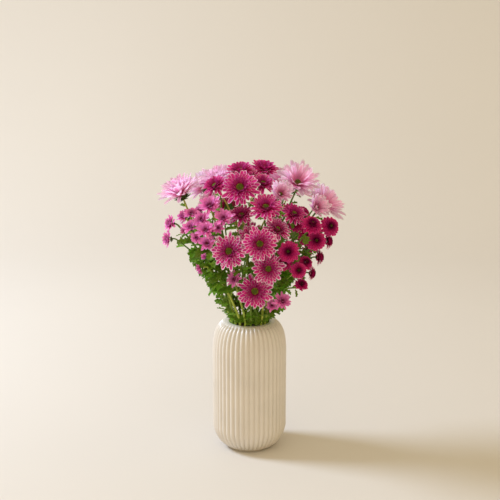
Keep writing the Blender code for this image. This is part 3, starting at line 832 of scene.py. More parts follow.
# ----------------------------------------------------------------------------------------------
# Materials
# ----------------------------------------------------------------------------------------------
class ShaderMaker(Maker):
    """A material under way, with its Principled shader."""

    def __init__(self, name, roughness, **settings):
        self.material = bpy.data.materials.new(name)
        self.material.use_nodes = True
        super().__init__(self.material.node_tree)
        self.shader = self.tree.nodes["Principled BSDF"]
        self.output = self.tree.nodes["Material Output"]
        self.shader.inputs["Roughness"].default_value = roughness
        for name, value in settings.items():
            self.shader.inputs[name.replace("_", " ")].default_value = value

    def stored(self, name):
        return self.field("ShaderNodeAttribute", "Fac", attribute_name=name)

    def position(self):
        return self.field("ShaderNodeTexCoord", "Object")

    def mix(self, share, first, second):
        """A colour between two, which are colours or fields."""
        first, second = [v if isinstance(v, Field) else (*v, 1.0) for v in (first, second)]
        return self.field("ShaderNodeMix", 2, {0: share, 6: first, 7: second}, data_type="RGBA")

    def tint(self, colour, value, hue=0.5, saturation=1.0):
        inputs = {"Color": colour, "Value": value, "Hue": hue, "Saturation": saturation}
        return self.field("ShaderNodeHueSaturation", inputs=inputs)

    def colour(self, field):
        feed(self.tree, self.shader.inputs["Base Color"], field)

    def bump(self, height, strength, distance):
        inputs = {"Height": height, "Strength": strength, "Distance": distance}
        feed(self.tree, self.shader.inputs["Normal"], self.field("ShaderNodeBump", inputs=inputs))

    def let_light_through(self, colour, share):
        """Mixes in light that falls through a thin petal or leaf."""
        glow = self.node("ShaderNodeBsdfTranslucent", {"Color": colour})
        both = self.node("ShaderNodeMixShader", {0: share})
        self.tree.links.new(self.shader.outputs[0], both.inputs[1])
        self.tree.links.new(glow.outputs[0], both.inputs[2])
        self.tree.links.new(both.outputs[0], self.output.inputs["Surface"])


# Above the mouth, where the flowers start and end to count as the uppermost.
HIGH_FROM, HIGH_TO = 0.155, 0.195
RIM_BLEND = 0.34  # how softly a petal's rim colour starts
VEIN_COLOUR = (0.30, 0.42, 0.10)
GROOVE_SHADE = 0.16  # share of the painted shade colour deep between two ribs: painted shade in the grooves
FOOT_SHADE = 0.55  # and in a band at the very foot: painted shade where the jar meets the floor


def petal_material(
    name, settings, rim_from, rings=0.2, uneven=0.05, high=0.0, deep=0.0, veins=0.06, through=0.25
):
    """Throat colour at the petal's root, blade colour along it and rim colour round its edge.

    The rim is narrower in the inner rings, and by high in the uppermost flowers. The innermost
    ring is darker by the share deep, painted shade in the flower's heart, and the outer rings are a
    little lighter, painted light.
    """
    make = ShaderMaker(name, 0.55, Specular_IOR_Level=0.35)
    across, along = make.stored("petal_across"), make.stored("petal_along")
    tone, ring = make.stored("petal_tone"), make.stored("petal_ring")
    grain = make.noise(make.combine(across * 9.0, along * 1.5, tone * 40), 1.0)
    blade_share = (along + grain * 0.25 - 0.12).ramp(0.10, 0.62)
    colour = make.mix(blade_share, settings.throat_colour, settings.blade_colour)
    edge = ((across.abs() ** 2.4) * along.ramp(0.15, 0.80)).most(along ** 9.0) + grain * 0.44 - 0.22
    edge = edge + (ring - 0.75) * rings + (make.stored("flower") * 2.4).sin() * uneven
    _, _, height = make.split(make.position())
    edge = edge - height.ramp(JAR_HEIGHT + HIGH_FROM, JAR_HEIGHT + HIGH_TO) * high
    colour = make.mix(edge.ramp(rim_from, rim_from + RIM_BLEND), colour, settings.rim_colour)
    stripes = (across * 16.0 + grain * 3.0).sin() * veins
    value = tone.ramp(0, 1, 0.86, 1.12, smooth=False) + stripes
    # Painted shade: the inner rings are darker by the share deep, and the outer ones a little lighter
    # as if lit.
    value = value * ring.ramp(0.0, 0.7, 1 - deep, 1 + deep * 0.2)
    hue = tone.ramp(0, 1, 0.493, 0.507, smooth=False)
    colour = make.tint(colour, value, hue)
    make.colour(colour)
    make.bump(stripes + grain * 0.3, 0.25, 0.0006)
    make.let_light_through(colour, through)
    return make.material


def eye_material(name, middle, outside):
    make = ShaderMaker(name, 0.6, Specular_IOR_Level=0.3)
    share, tone = make.stored("floret_ring"), make.stored("floret_tone")
    colour = make.mix((share + tone * 0.3 - 0.15).ramp(0.25, 0.95), middle, outside)
    make.colour(make.tint(colour, tone.ramp(0, 1, 0.7, 1.25, smooth=False)))
    return make.material


def green_material(name, base, tip, roughness=0.5, through=0.0, veins=0.0):
    """For calyxes and leaves: base colour by the stalk, tip colour at the edge, paler veins."""
    make = ShaderMaker(name, roughness, Specular_IOR_Level=0.4)
    across, along = make.stored("petal_across"), make.stored("petal_along")
    tone = make.stored("petal_tone")
    spots = make.noise(make.position(), 260.0, 3.0)
    colour = make.mix((along + spots * 0.5 - 0.25).ramp(0.1, 0.9), base, tip)
    colour = make.tint(colour, tone.ramp(0, 1, 0.62, 1.30, smooth=False), tone.ramp(0, 1, 0.485, 0.515))
    if veins:
        side = (along * 34.0 - across.abs() * 9.0).sin().ramp(0.86, 1.0)
        rib = across.abs().ramp(0.10, 0.02)
        vein = side.most(rib)
        colour = make.mix(vein * veins, colour, VEIN_COLOUR)
        make.bump(vein * -1.0 + spots * 0.6, 0.5, 0.0008)
    else:
        make.bump(spots, 0.3, 0.0004)
    make.colour(colour)
    if through:
        make.let_light_through(colour, through)
    return make.material


def stem_material(settings):
    make = ShaderMaker("stem_skin", 0.45, Specular_IOR_Level=0.4)
    along, tone = make.stored("stem_along"), make.stored("stem_tone")
    x, y, z = make.split(make.position())
    streaks = make.noise(make.combine(x * 900.0, y * 900.0, z * 60.0), 1.0, 3.0)
    upper = (along + streaks * 0.5 - 0.25).ramp(0.1, 0.9)
    colour = make.mix(upper, settings.foot_colour, settings.top_colour)
    colour = make.mix(tone.ramp(0.72, 0.95), colour, settings.ripe_colour)
    make.colour(make.tint(colour, (tone * 0.45 + 0.68) + streaks * 0.35 - 0.17))
    make.bump(streaks, 0.4, 0.0006)
    return make.material


def glaze_material(settings):
    coat = {"Coat_Weight": 0.45, "Coat_Roughness": 0.20}
    make = ShaderMaker("cream_glaze", 0.34, Specular_IOR_Level=0.6, **coat)
    groove = make.stored("groove")
    cloud = make.noise(make.position(), 22.0, 3.0)
    speck = make.noise(make.position(), 900.0, 2.0)
    # Painted shade: the grooves between the ribs turn darker towards their bottoms.
    deep = groove.ramp(0.5, 1.0) * GROOVE_SHADE
    colour = make.mix(deep, settings.glaze_colour, settings.painted_shade_colour)
    _, _, height = make.split(make.position())
    # Painted shade: a darker band at the very foot, by the floor.
    low = height.ramp(FOOT_HEIGHT + 0.0022, FOOT_HEIGHT) * FOOT_SHADE
    colour = make.mix(low, colour, settings.painted_shade_colour)
    value = cloud.ramp(0.3, 0.7, 0.965, 1.02) - speck.ramp(0.68, 0.78) * 0.05
    make.colour(make.tint(colour, value))
    feed(make.tree, make.shader.inputs["Roughness"], cloud.ramp(0.2, 0.8, 0.28, 0.40))
    make.bump(cloud + speck * 0.08, 0.12, 0.0012)
    return make.material


# ----------------------------------------------------------------------------------------------
# Jar
# ----------------------------------------------------------------------------------------------
def corner(low, high, power, count, rising):
    """Points of a rounded corner between two (radius, height) ends, without the first."""
    made = []
    for n in range(1, count + 1):
        turn = n / count * math.pi / 2
        first, second = math.sin(turn) ** (2 / power), 1 - math.cos(turn) ** (2 / power)
        if rising:
            first, second = second, first
        made.append((low[0] + (high[0] - low[0]) * first, low[1] + (high[1] - low[1]) * second))
    return made


def straight(low, high, count):
    """Points evenly along a line between two (radius, height) ends, without the first."""
    shares = [n / count for n in range(1, count + 1)]
    return [(low[0] + (high[0] - low[0]) * s, low[1] + (high[1] - low[1]) * s) for s in shares]


def jar_section():
    """The jar's section from the middle of the underside out, up, over the lip and down inside."""
    foot_edge, foot_top = (FOOT_RADIUS - 0.0024, 0.0), (FOOT_RADIUS, FOOT_HEIGHT)
    side_low = (JAR_RADIUS, FOOT_HEIGHT + HEEL_RISE)
    side_high = (JAR_RADIUS, JAR_HEIGHT - SHOULDER_DROP)
    lip_out = (MOUTH_RADIUS + LIP_ROUNDING, JAR_HEIGHT)
    lip_in = (MOUTH_RADIUS, JAR_HEIGHT - LIP_ROUNDING)
    throat = (MOUTH_RADIUS, JAR_HEIGHT - JAR_WALL)
    under = (MOUTH_RADIUS + LIP_ROUNDING, JAR_HEIGHT - JAR_WALL - 0.001)
    inner_high = (JAR_RADIUS - JAR_WALL, JAR_HEIGHT - SHOULDER_DROP)
    inner_low = (JAR_RADIUS - JAR_WALL, FOOT_HEIGHT + HEEL_RISE)
    floor_edge = (FOOT_RADIUS - JAR_WALL, JAR_FLOOR)
    lip = [
        (lip_out[0] - LIP_ROUNDING * math.sin(a), lip_in[1] + LIP_ROUNDING * math.cos(a))
        for a in (0.3, 0.6, 0.9, 1.2, 1.5)
    ]
    return [
        (0, 0),
        foot_edge,
        (FOOT_RADIUS - 0.0010, 0.0005),
        (FOOT_RADIUS - 0.0003, 0.0012),
        *straight((FOOT_RADIUS - 0.0003, 0.0012), foot_top, 2),
        *corner(foot_top, side_low, HEEL_POWER, 26, rising=False),
        *straight(side_low, side_high, 20),
        *corner(side_high, lip_out, SHOULDER_POWER, 40, rising=True),
        *lip,
        throat,
        under,
        *reversed(corner(inner_high, under, SHOULDER_POWER, 10, rising=True)[:-1]),
        inner_high,
        *straight(inner_high, inner_low, 4),
        *reversed(corner(floor_edge, inner_low, HEEL_POWER, 8, rising=False)[:-1]),
        floor_edge,
        (0, JAR_FLOOR),
    ]


def ribbed_jar_tree():
    """Turns a section about Z and raises round ribs on its outer wall, with narrow grooves."""
    make = GeometryMaker("ribbed_jar")
    ribs = make.input("Rib Count", "Int")
    columns = make.input("Columns per Rib", "Int")
    depth = make.input("Rib Depth")
    lip = make.input("Plain Lip Radius")
    foot = make.input("Plain Foot Height")
    outside = make.input("Outer Points", "Int")
    material = make.input("Material", "Material")
    section = make.geometry
    size = make.node("GeometryNodeAttributeDomainSize", {0: section}, component="MESH")
    rows = Field(make.tree, size.outputs["Point Count"])
    around = ribs * columns
    counts = {"Vertices X": around + 1, "Vertices Y": rows}
    grid = make.node("GeometryNodeMeshGrid", {"Size X": 1.0, "Size Y": 1.0, **counts})
    make.geometry = Field(make.tree, grid.outputs["Mesh"])
    index = make.field("GeometryNodeInputIndex")
    column = (index / rows).floor()
    row = index - column * rows

    def at(which):
        inputs = {0: section, "Value": make.position(), "Index": which}
        sample = make.node("GeometryNodeSampleIndex", inputs, data_type="FLOAT_VECTOR", clamp=True)
        return make.split(Field(make.tree, sample.outputs[0]))

    radius, _, height = at(row)
    low_r, _, low_z = at(row - 1)
    high_r, _, high_z = at(row + 1)
    length = ((high_r - low_r) ** 2.0 + (high_z - low_z) ** 2.0).root().most(1e-6)
    out, up = (high_z - low_z) / length, (low_r - high_r) / length
    turn = column / around * math.tau
    groove = (1.0 - (turn * ribs * 0.5).sin().abs()) * row.math("LESS_THAN", outside)
    near_lip = (height - (JAR_HEIGHT - SHOULDER_DROP)).math("GREATER_THAN", 0.0)
    fade = (radius - lip).ramp(0.0010, 0.0070) * near_lip + (1.0 - near_lip)
    fade = fade * (height - foot).ramp(0.0004, 0.0026)
    groove = groove * fade
    make.store("groove", groove)
    groove = make.stored("groove")
    radius, height = radius - out * groove * depth, height - up * groove * depth
    make.place(make.combine(radius * turn.cos(), radius * turn.sin(), height))
    make.step("GeometryNodeMergeByDistance", {"Distance": 1e-5})
    return make.end(material)


def make_jar(settings):
    section = jar_section()
    outer = next(n for n, (r, _) in enumerate(section) if n > 10 and r <= MOUTH_RADIUS)
    mesh = bpy.data.meshes.new("jar_section")
    mesh.from_pydata([(r, 0, z) for r, z in section], [], [])
    inputs = {
        "Rib Count": settings.rib_count,
        "Columns per Rib": 10,
        "Rib Depth": settings.rib_depth,
        "Plain Lip Radius": MOUTH_RADIUS + RIB_FREE_LIP,
        "Plain Foot Height": FOOT_HEIGHT,
        "Outer Points": outer,
        "Material": glaze_material(settings),
    }
    source = bpy.data.objects.new("jar_section", mesh)
    jar = grown(source, ribbed_jar_tree(), inputs, "ribbed_jar")
    bm = bmesh.new()
    bm.from_mesh(jar.data)
    bmesh.ops.recalc_face_normals(bm, faces=bm.faces)
    bm.to_mesh(jar.data)
    bm.free()
    add_piece(jar, "ceramic", "jar")


# ----------------------------------------------------------------------------------------------
# Flowers
# ----------------------------------------------------------------------------------------------
@dataclass
class Whorls:
    """Rings of petals, as (innermost, outermost) pairs. Lengths are shares of the flower's radius."""

    count: int
    root: tuple
    height: tuple
    length: tuple
    width: tuple
    rise: tuple
    bend: tuple
    cup: tuple
    waist: float = 0.45
    tip_from: float = 0.70
    tip_power: float = 2.2
    jitter: float = 0.10
    twist: float = 0.25
    rows: int = 9
    columns: int = 5
    seed: int = 1


PAIRS = ("root", "height", "length", "width", "rise", "bend", "cup")
SINGLES = ("waist", "tip_from", "tip_power", "jitter", "twist")
COUNTS = ("count", "rows", "columns", "seed")
GOLDEN_ANGLE = math.pi * (3 - math.sqrt(5))


@lru_cache
def petal_tree():
    """Grows whorls of petals on each flower point, each from its own place in the spiral."""
    make = GeometryMaker("petal_whorls")
    pairs = {name: (make.input(f"{name} inner"), make.input(f"{name} outer")) for name in PAIRS}
    single = {name: make.input(name) for name in SINGLES}
    count = {name: make.input(name, "Int") for name in COUNTS}
    material = make.input("Material", "Material")

    make.store("centre", make.position(), "FLOAT_VECTOR")
    copies = make.step("GeometryNodeDuplicateElements", {"Amount": count["count"]}, domain="POINT")
    make.store("petal", Field(make.tree, copies.outputs["Duplicate Index"]))
    # Rows crowd towards the tip, where the outline turns most.
    make.sheets_on_points(count["columns"], count["rows"], lambda y: 1.0 - (0.5 - y).most(0.0) ** 1.35)

    across, along = make.stored("petal_across"), make.stored("petal_along")
    petal, flower = make.stored("petal"), make.stored("flower")
    key = petal + flower * 1000.0

    def chance(low, high, salt):
        return make.random(low, high, key, count["seed"] + salt)

    ring = (petal + 0.5) / count["count"]
    loose = single["jitter"]
    shut = make.stored("shut")

    def between(name):
        inner, outer = pairs[name]
        return inner + (outer - inner) * ring

    turn = petal * GOLDEN_ANGLE + chance(-1, 1, 1) * loose * 1.2 + flower
    length = between("length") * (1.0 + chance(-1, 1, 2) * loose)
    rise = between("rise") + chance(-1, 1, 3) * loose * 1.6
    rise = rise + (1.45 - rise) * shut
    bend = between("bend") + chance(-1, 1, 4) * loose * 2.5 + 0.013
    bend = bend - (bend + 0.5) * shut
    slope = rise - bend * along
    forward = (rise.sin() - slope.sin()) / bend * length
    upward = (slope.cos() - rise.cos()) / bend * length
    swell = ((along * 1.9).least(1.0) * (math.pi / 2)).sin()
    belly = single["waist"] + (1.0 - single["waist"]) * swell
    point = along.ramp(single["tip_from"], 1.0, smooth=False) ** single["tip_power"]
    half = between("width") * 0.5 * belly * (1.0 - point).root() * (1.0 + chance(-1, 1, 5) * loose)
    twist = chance(-1, 1, 6) * single["twist"] * along
    hollow = half * between("cup") * (across * across) * (1.0 - along * 0.35)
    side = half * across * twist.cos() - hollow * twist.sin()
    lift = half * across * twist.sin() + hollow * twist.cos()
    lift = lift + (along * 9.0 + chance(0, 6, 7)).sin() * loose * 0.10 * half
    outward = between("root") + forward - slope.sin() * lift
    height = between("height") + upward + slope.cos() * lift
    local_x = outward * turn.cos() - side * turn.sin()
    local_y = outward * turn.sin() + side * turn.cos()
    face, cross = make.stored("face", "FLOAT_VECTOR"), make.stored("cross", "FLOAT_VECTOR")
    third = face.vector("CROSS_PRODUCT", cross)
    size = make.stored("size")
    where = cross * local_x + third * local_y + face * height
    place = make.stored("centre", "FLOAT_VECTOR") + where * size
    make.store("petal_ring", ring)
    make.store("petal_tone", chance(0, 1, 8))
    make.place(place)
    return make.end(material)


@lru_cache
def eye_tree():
    """Packs disc florets, small pointed beads, in a spiral on a dome in each flower's middle."""
    make = GeometryMaker("disc_florets")
    count = make.input("Count", "Int")
    radius = make.input("Eye Radius")
    dome = make.input("Dome Height")
    lift = make.input("Eye Height")
    bead = make.input("Floret Size")
    seed = make.input("Seed", "Int")
    material = make.input("Material", "Material")
    make.store("centre", make.position(), "FLOAT_VECTOR")
    copies = make.step("GeometryNodeDuplicateElements", {"Amount": count}, domain="POINT")
    number = Field(make.tree, copies.outputs["Duplicate Index"])
    share = (number + 0.5) / count
    key = number + make.stored("flower") * 1000.0
    tone = make.random(0, 1, key, seed)
    make.store("floret_ring", share)
    make.store("floret_tone", tone)
    share, tone = make.stored("floret_ring"), make.stored("floret_tone")
    make.store("floret", number)
    turn = make.stored("floret") * GOLDEN_ANGLE
    out = radius * share.root()
    up = lift + dome * (1.0 - share) + (tone - 0.5) * bead * 0.8
    face, cross = make.stored("face", "FLOAT_VECTOR"), make.stored("cross", "FLOAT_VECTOR")
    third = face.vector("CROSS_PRODUCT", cross)
    size = make.stored("size")
    where = cross * (out * turn.cos()) + third * (out * turn.sin()) + face * up
    make.place(make.stored("centre", "FLOAT_VECTOR") + where * size)
    ball = make.node("GeometryNodeMeshIcoSphere", {"Radius": 1.0, "Subdivisions": 1})
    aim = face + (cross * turn.cos() + third * turn.sin()) * (share * 0.5)
    grain = size * bead * (0.8 + tone * 0.4)
    make.balls_on_points(ball, aim, make.combine(grain, grain, grain * 1.5))
    return make.end(material)


@lru_cache
def receptacle_tree():
    """A green cup behind each flower, where the petals root and the stem ends."""
    make = GeometryMaker("receptacles")
    radius = make.input("Cup Radius")
    height = make.input("Cup Height")
    lift = make.input("Cup Lift")
    material = make.input("Material", "Material")
    face, size = make.stored("face", "FLOAT_VECTOR"), make.stored("size")
    make.place(make.position() + face * size * lift)
    ball = make.node("GeometryNodeMeshUVSphere", {"Segments": 14, "Rings": 8, "Radius": 1.0})
    wide, tall = size * radius, size * height
    make.balls_on_points(ball, face, make.combine(wide, wide, tall))
    return make.end(material)


def flower_points(variety):
    """A mesh with a point at each flower of a variety, and its facing, size and openness."""
    flowers = [flower for flower in bunch()[0] if flower.kind is KINDS[variety]]
    mesh = bpy.data.meshes.new(variety + "_points")
    mesh.from_pydata([tuple(flower.centre) for flower in flowers], [], [])
    faces = [flower.axis for flower in flowers]
    crosses = [unit(np.cross(face, (0.31, 0.17, 0.93))) for face in faces]
    for name, vectors in (("face", faces), ("cross", crosses)):
        values = mesh.attributes.new(name, "FLOAT_VECTOR", "POINT")
        values.data.foreach_set("vector", np.array(vectors, dtype=np.float32).ravel())
    share = [flower.radius / flower.kind.radius for flower in flowers]
    numbers = {
        "size": [flower.radius for flower in flowers],
        "shut": [max(0.0, min(0.6, (0.74 - s) * 1.6)) for s in share],
        "flower": range(len(flowers)),
    }
    for name, values in numbers.items():
        mesh.attributes.new(name, "FLOAT", "POINT").data.foreach_set("value", list(values))
    return bpy.data.objects.new(mesh.name, mesh)


def grow_petals(variety, name, whorls, material):
    inputs = {"Material": material}
    for pair in PAIRS:
        inputs[f"{pair} inner"], inputs[f"{pair} outer"] = map(float, getattr(whorls, pair))
    inputs.update({single: float(getattr(whorls, single)) for single in SINGLES})
    inputs.update({count: getattr(whorls, count) for count in COUNTS})
    obj = grown(flower_points(variety), petal_tree(), inputs, name)
    add_piece(obj, variety + "_flowers", *sprays_of(variety))


def grow_eyes(variety, count, radius, dome, lift, bead, middle, outside):
    inputs = {
        "Count": count,
        "Eye Radius": radius,
        "Dome Height": dome,
        "Eye Height": lift,
        "Floret Size": bead,
        "Seed": 5,
        "Material": eye_material(variety + "_eye", middle, outside),
    }
    obj = grown(flower_points(variety), eye_tree(), inputs, variety + "_eyes")
    add_piece(obj, variety + "_flowers", *sprays_of(variety))


def grow_calyxes(variety, back):
    """The cup behind each flower of a variety, and the bracts that hug it."""
    green = green_material(variety + "_calyx", (0.10, 0.19, 0.03), (0.07, 0.15, 0.025))
    inputs = {"Cup Radius": 0.20, "Cup Height": 0.14, "Cup Lift": back + 0.13, "Material": green}
    obj = grown(flower_points(variety), receptacle_tree(), inputs, variety + "_cups")
    add_piece(obj, variety + "_flowers", *sprays_of(variety))
    bracts = Whorls(
        count=26,
        root=(0.09, 0.17),
        height=(back + 0.02, back + 0.08),
        length=(0.26, 0.34),
        width=(0.13, 0.12),
        rise=(0.35, 0.60),
        bend=(0.1, 0.2),
        cup=(-0.3, -0.3),
        waist=0.9,
        tip_from=0.3,
        tip_power=1.3,
        rows=5,
        columns=3,
        seed=40,
    )
    grow_petals(variety, variety + "_bracts", bracts, green)


def make_duo(settings):
    petals = Whorls(
        count=settings.petal_count,
        root=(0.17, 0.24),
        height=(0.02, -0.14),
        length=(0.36, 0.95),
        width=(0.16, 0.26),
        rise=(1.10, 0.12),
        bend=(-0.10, 0.28),
        cup=(0.55, 0.35),
        waist=0.45,
        tip_from=0.66,
        tip_power=2.4,
        seed=11,
    )
    # deep sets the painted shade in the flower's heart.
    material = petal_material(
        "bicoloured_petal",
        settings,
        rim_from=0.28,
        rings=0.50,
        uneven=0.08,
        high=0.24,
        deep=0.26,
        veins=0.10,
    )
    grow_petals("duo", "duo_petals", petals, material)
    grow_eyes("duo", 90, 0.21, 0.07, 0.03, 0.028, (0.13, 0.17, 0.02), (0.32, 0.30, 0.03))
    grow_calyxes("duo", -0.40)


def make_spider(settings):
    petals = Whorls(
        count=settings.petal_count,
        root=(0.02, 0.20),
        height=(0.00, -0.16),
        length=(0.46, 0.98),
        width=(0.09, 0.17),
        rise=(1.50, 0.36),
        bend=(-0.35, 0.16),
        cup=(0.9, 0.7),
        waist=0.55,
        tip_from=0.78,
        jitter=0.13,
        twist=0.5,
        seed=21,
    )
    material = petal_material("quilled_petal", settings, rim_from=0.50, veins=0.06, through=0.60)
    grow_petals("spider", "spider_petals", petals, material)
    grow_calyxes("spider", -0.40)


def make_daisy(settings):
    petals = Whorls(
        count=settings.petal_count,
        root=(0.16, 0.20),
        height=(-0.02, -0.14),
        length=(0.80, 1.16),
        width=(0.18, 0.29),
        rise=(1.00, 0.42),
        bend=(0.05, 0.14),
        cup=(0.40, 0.26),
        waist=0.45,
        tip_from=0.66,
        jitter=0.09,
        twist=0.35,
        rows=11,
        seed=31,
    )
    material = petal_material("pale_petal", settings, rim_from=0.34, veins=0.12, through=0.55)
    grow_petals("daisy", "daisy_petals", petals, material)
    grow_eyes("daisy", 70, 0.15, 0.07, 0.02, 0.024, (0.10, 0.13, 0.02), (0.22, 0.16, 0.03))
    grow_calyxes("daisy", -0.38)


def make_button(settings):
    petals = Whorls(
        count=settings.petal_count,
        root=(0.10, 0.24),
        height=(0.20, -0.26),
        length=(0.26, 0.84),
        width=(0.16, 0.29),
        rise=(1.25, 0.10),
        bend=(-0.35, 0.50),
        cup=(0.55, 0.35),
        waist=0.7,
        tip_from=0.72,
        tip_power=3.0,
        jitter=0.06,
        rows=7,
        seed=51,
    )
    # deep sets the painted shade in the flower's heart.
    material = petal_material(
        "crimson_petal", settings, rim_from=0.50, rings=0.4, deep=0.55, veins=0.08, through=0.15
    )
    grow_petals("button", "button_petals", petals, material)
    grow_eyes("button", 36, 0.13, 0.05, 0.22, 0.030, (0.10, 0.13, 0.01), (0.20, 0.16, 0.02))
    grow_calyxes("button", -0.50)


def make_pink(settings):
    petals = Whorls(
        count=settings.petal_count,
        root=(0.12, 0.24),
        height=(0.05, -0.18),
        length=(0.45, 1.10),
        width=(0.19, 0.36),
        rise=(1.15, 0.36),
        bend=(0.0, 0.22),
        cup=(0.45, 0.30),
        waist=0.5,
        tip_from=0.60,
        jitter=0.13,
        rows=7,
        seed=61,
    )
    # deep sets the painted shade in the flower's heart.
    material = petal_material("rose_petal", settings, rim_from=0.54, deep=0.3, veins=0.08)
    grow_petals("pink", "pink_petals", petals, material)
    grow_eyes("pink", 32, 0.15, 0.07, 0.12, 0.034, (0.16, 0.01, 0.05), (0.25, 0.03, 0.06))
    grow_calyxes("pink", -0.58)


# ----------------------------------------------------------------------------------------------
# Stems and leaves
# ----------------------------------------------------------------------------------------------
def route_curves(name, lines):
    """A curve object with one spline for each (points, radius, top share) line."""
    curve = bpy.data.curves.new(name, "CURVE")
    curve.dimensions = "3D"
    for points, radius, top in lines:
        spline = curve.splines.new("POLY")
        spline.points.add(len(points) - 1)
        for n, (point, where) in enumerate(zip(spline.points, points)):
            point.co = (*where, 1)
            point.radius = radius * (1 + (top - 1) * n / (len(points) - 1))
    return bpy.data.objects.new(name, curve)


def stem_lines():
    _, stems, branches, _ = bunch()
    lines = [([*foot_points(stem), *stem.points], stem.radius, STEM_TAPER) for stem in stems.values()]
    return lines + [(list(branch.points), branch.radius, 0.9) for branch in branches]


def stem_tree():
    """Sweeps a ridged round skin along each smoothed route."""
    make = GeometryMaker("stems")
    step = make.input("Step Length")
    sides = make.input("Sides", "Int")
    ridge = make.input("Ridge Height")
    seed = make.input("Seed", "Int")
    material = make.input("Material", "Material")
    make.step("GeometryNodeCurveSplineType", spline_type="CATMULL_ROM")
    make.step("GeometryNodeResampleCurve", {"Length": step}, mode="LENGTH")
    radius = make.field("GeometryNodeInputRadius")
    along = make.field("GeometryNodeSplineParameter", "Factor")
    spline = make.field("GeometryNodeInputIndex")
    make.store("stem_along", along)
    make.store("stem_tone", make.random(0, 1, spline, seed), domain="CURVE")
    inputs = {"Resolution": sides, "Radius": 1.0}
    ring = make.node("GeometryNodeCurvePrimitiveCircle", inputs, mode="RADIUS")
    inputs = {"Profile Curve": Field(make.tree, ring.outputs[0]), "Fill Caps": True}
    swept = make.node("GeometryNodeCurveToMesh", {0: make.geometry, **inputs})
    if "Scale" in swept.inputs:
        feed(make.tree, swept.inputs["Scale"], radius)
    make.geometry = Field(make.tree, swept.outputs[0])
    bumps = make.noise(make.position(), 140.0) - 0.5
    offset = make.field("GeometryNodeInputNormal") * (bumps * ridge)
    make.step("GeometryNodeSetPosition", {"Offset": offset})
    return make.end(material)


def make_stems(settings):
    inputs = {
        "Step Length": 0.004,
        "Sides": 10,
        "Ridge Height": settings.ridge_height,
        "Seed": 3,
        "Material": stem_material(settings),
    }
    obj = grown(route_curves("stem_routes", stem_lines()), stem_tree(), inputs, "stems")
    add_piece(obj, "duo_flowers", *SPRAYS)


@lru_cache
def leaf_tree():
    """Turns each leaf point into a lobed leaf that folds along its rib and droops."""
    make = GeometryMaker("lobed_leaves")
    width = make.input("Width Share")
    depth = make.input("Lobe Depth")
    fold = make.input("Fold")
    droop = make.input("Droop")
    seed = make.input("Seed", "Int")
    columns = make.input("Columns", "Int")
    rows = make.input("Rows", "Int")
    material = make.input("Material", "Material")
    make.store("base", make.position(), "FLOAT_VECTOR")
    make.sheets_on_points(columns, rows, lambda y: y + 0.5)
    across, along, leaf = make.stored("petal_across"), make.stored("petal_along"), make.stored("leaf")

    def chance(low, high, salt):
        return make.random(low, high, leaf, seed + salt)

    length, aim = make.stored("length"), make.stored("aim", "FLOAT_VECTOR")
    level = aim.vector("CROSS_PRODUCT", make.combine(0.0, 0.0, 1.0)).vector("NORMALIZE")
    above = level.vector("CROSS_PRODUCT", aim)
    roll = make.stored("roll")
    side = level * roll.cos() - above * roll.sin()
    up = above * roll.cos() + level * roll.sin()
    blade = along.ramp(0.20, 1.0, smooth=False)
    outline = (blade ** 0.8 * math.pi).sin() ** 0.7
    lobes = 1.0 - depth * (0.5 + 0.5 * (blade * (math.tau * 3.3) - 0.9 + chance(-0.4, 0.4, 1)).cos())
    tip_tooth = 1.0 - depth * 0.25 * (0.5 + 0.5 * (blade * (math.tau * 9.0)).cos())
    half = length * (width * 0.5 * outline * lobes * tip_tooth + 0.022 * along.ramp(1.0, 0.9))
    half = half * (0.9 + chance(0, 0.25, 2))
    _, _, base_height = make.split(make.stored("base", "FLOAT_VECTOR"))
    low = (base_height - JAR_HEIGHT).ramp(0.0, 0.05, 0.15, 1.0)
    bend = droop * chance(0.4, 1.6, 3) * low + 0.011
    slope = -bend * along
    forward = (slope * -1.0).sin() / bend * length + across.abs() * half * 0.55 * blade
    down = (slope.cos() - 1.0) / bend * length
    raised = across.abs() * half * (fold + chance(-0.15, 0.25, 4))
    wave = (along * 21.0 + across * 3.0 + chance(0, 6, 5)).sin() * length * 0.018 * across.abs()
    twist = chance(-0.5, 0.5, 6) * along
    sideways = across * half * (1.0 - fold * fold * 0.3)
    lift = raised + wave + down
    swing = (along * along) * chance(-0.16, 0.16, 7) * length
    sideways, lift = (
        sideways * twist.cos() - lift * twist.sin() * 0.3 + swing,
        lift + sideways * twist.sin(),
    )
    where = aim * forward + side * sideways + up * lift
    make.store("petal_tone", chance(0, 1, 8))
    make.place(make.stored("base", "FLOAT_VECTOR") + where)
    return make.end(material)


def room(tip):
    """The share of its length that a leaf keeps, so that its tip stays near the bunch's outline."""
    height = tip[2] - JAR_HEIGHT
    outline = 0.036 + 0.30 * min(height, 0.045) + 0.75 * max(0.0, height - 0.045)
    over = math.hypot(tip[0], tip[1]) - outline
    return 1.0 if over < 0 else max(0.55, 1 - over / 0.030)


BARE_FRONT_SHARE = 0.75  # of the leaves that would hide the stems low in front


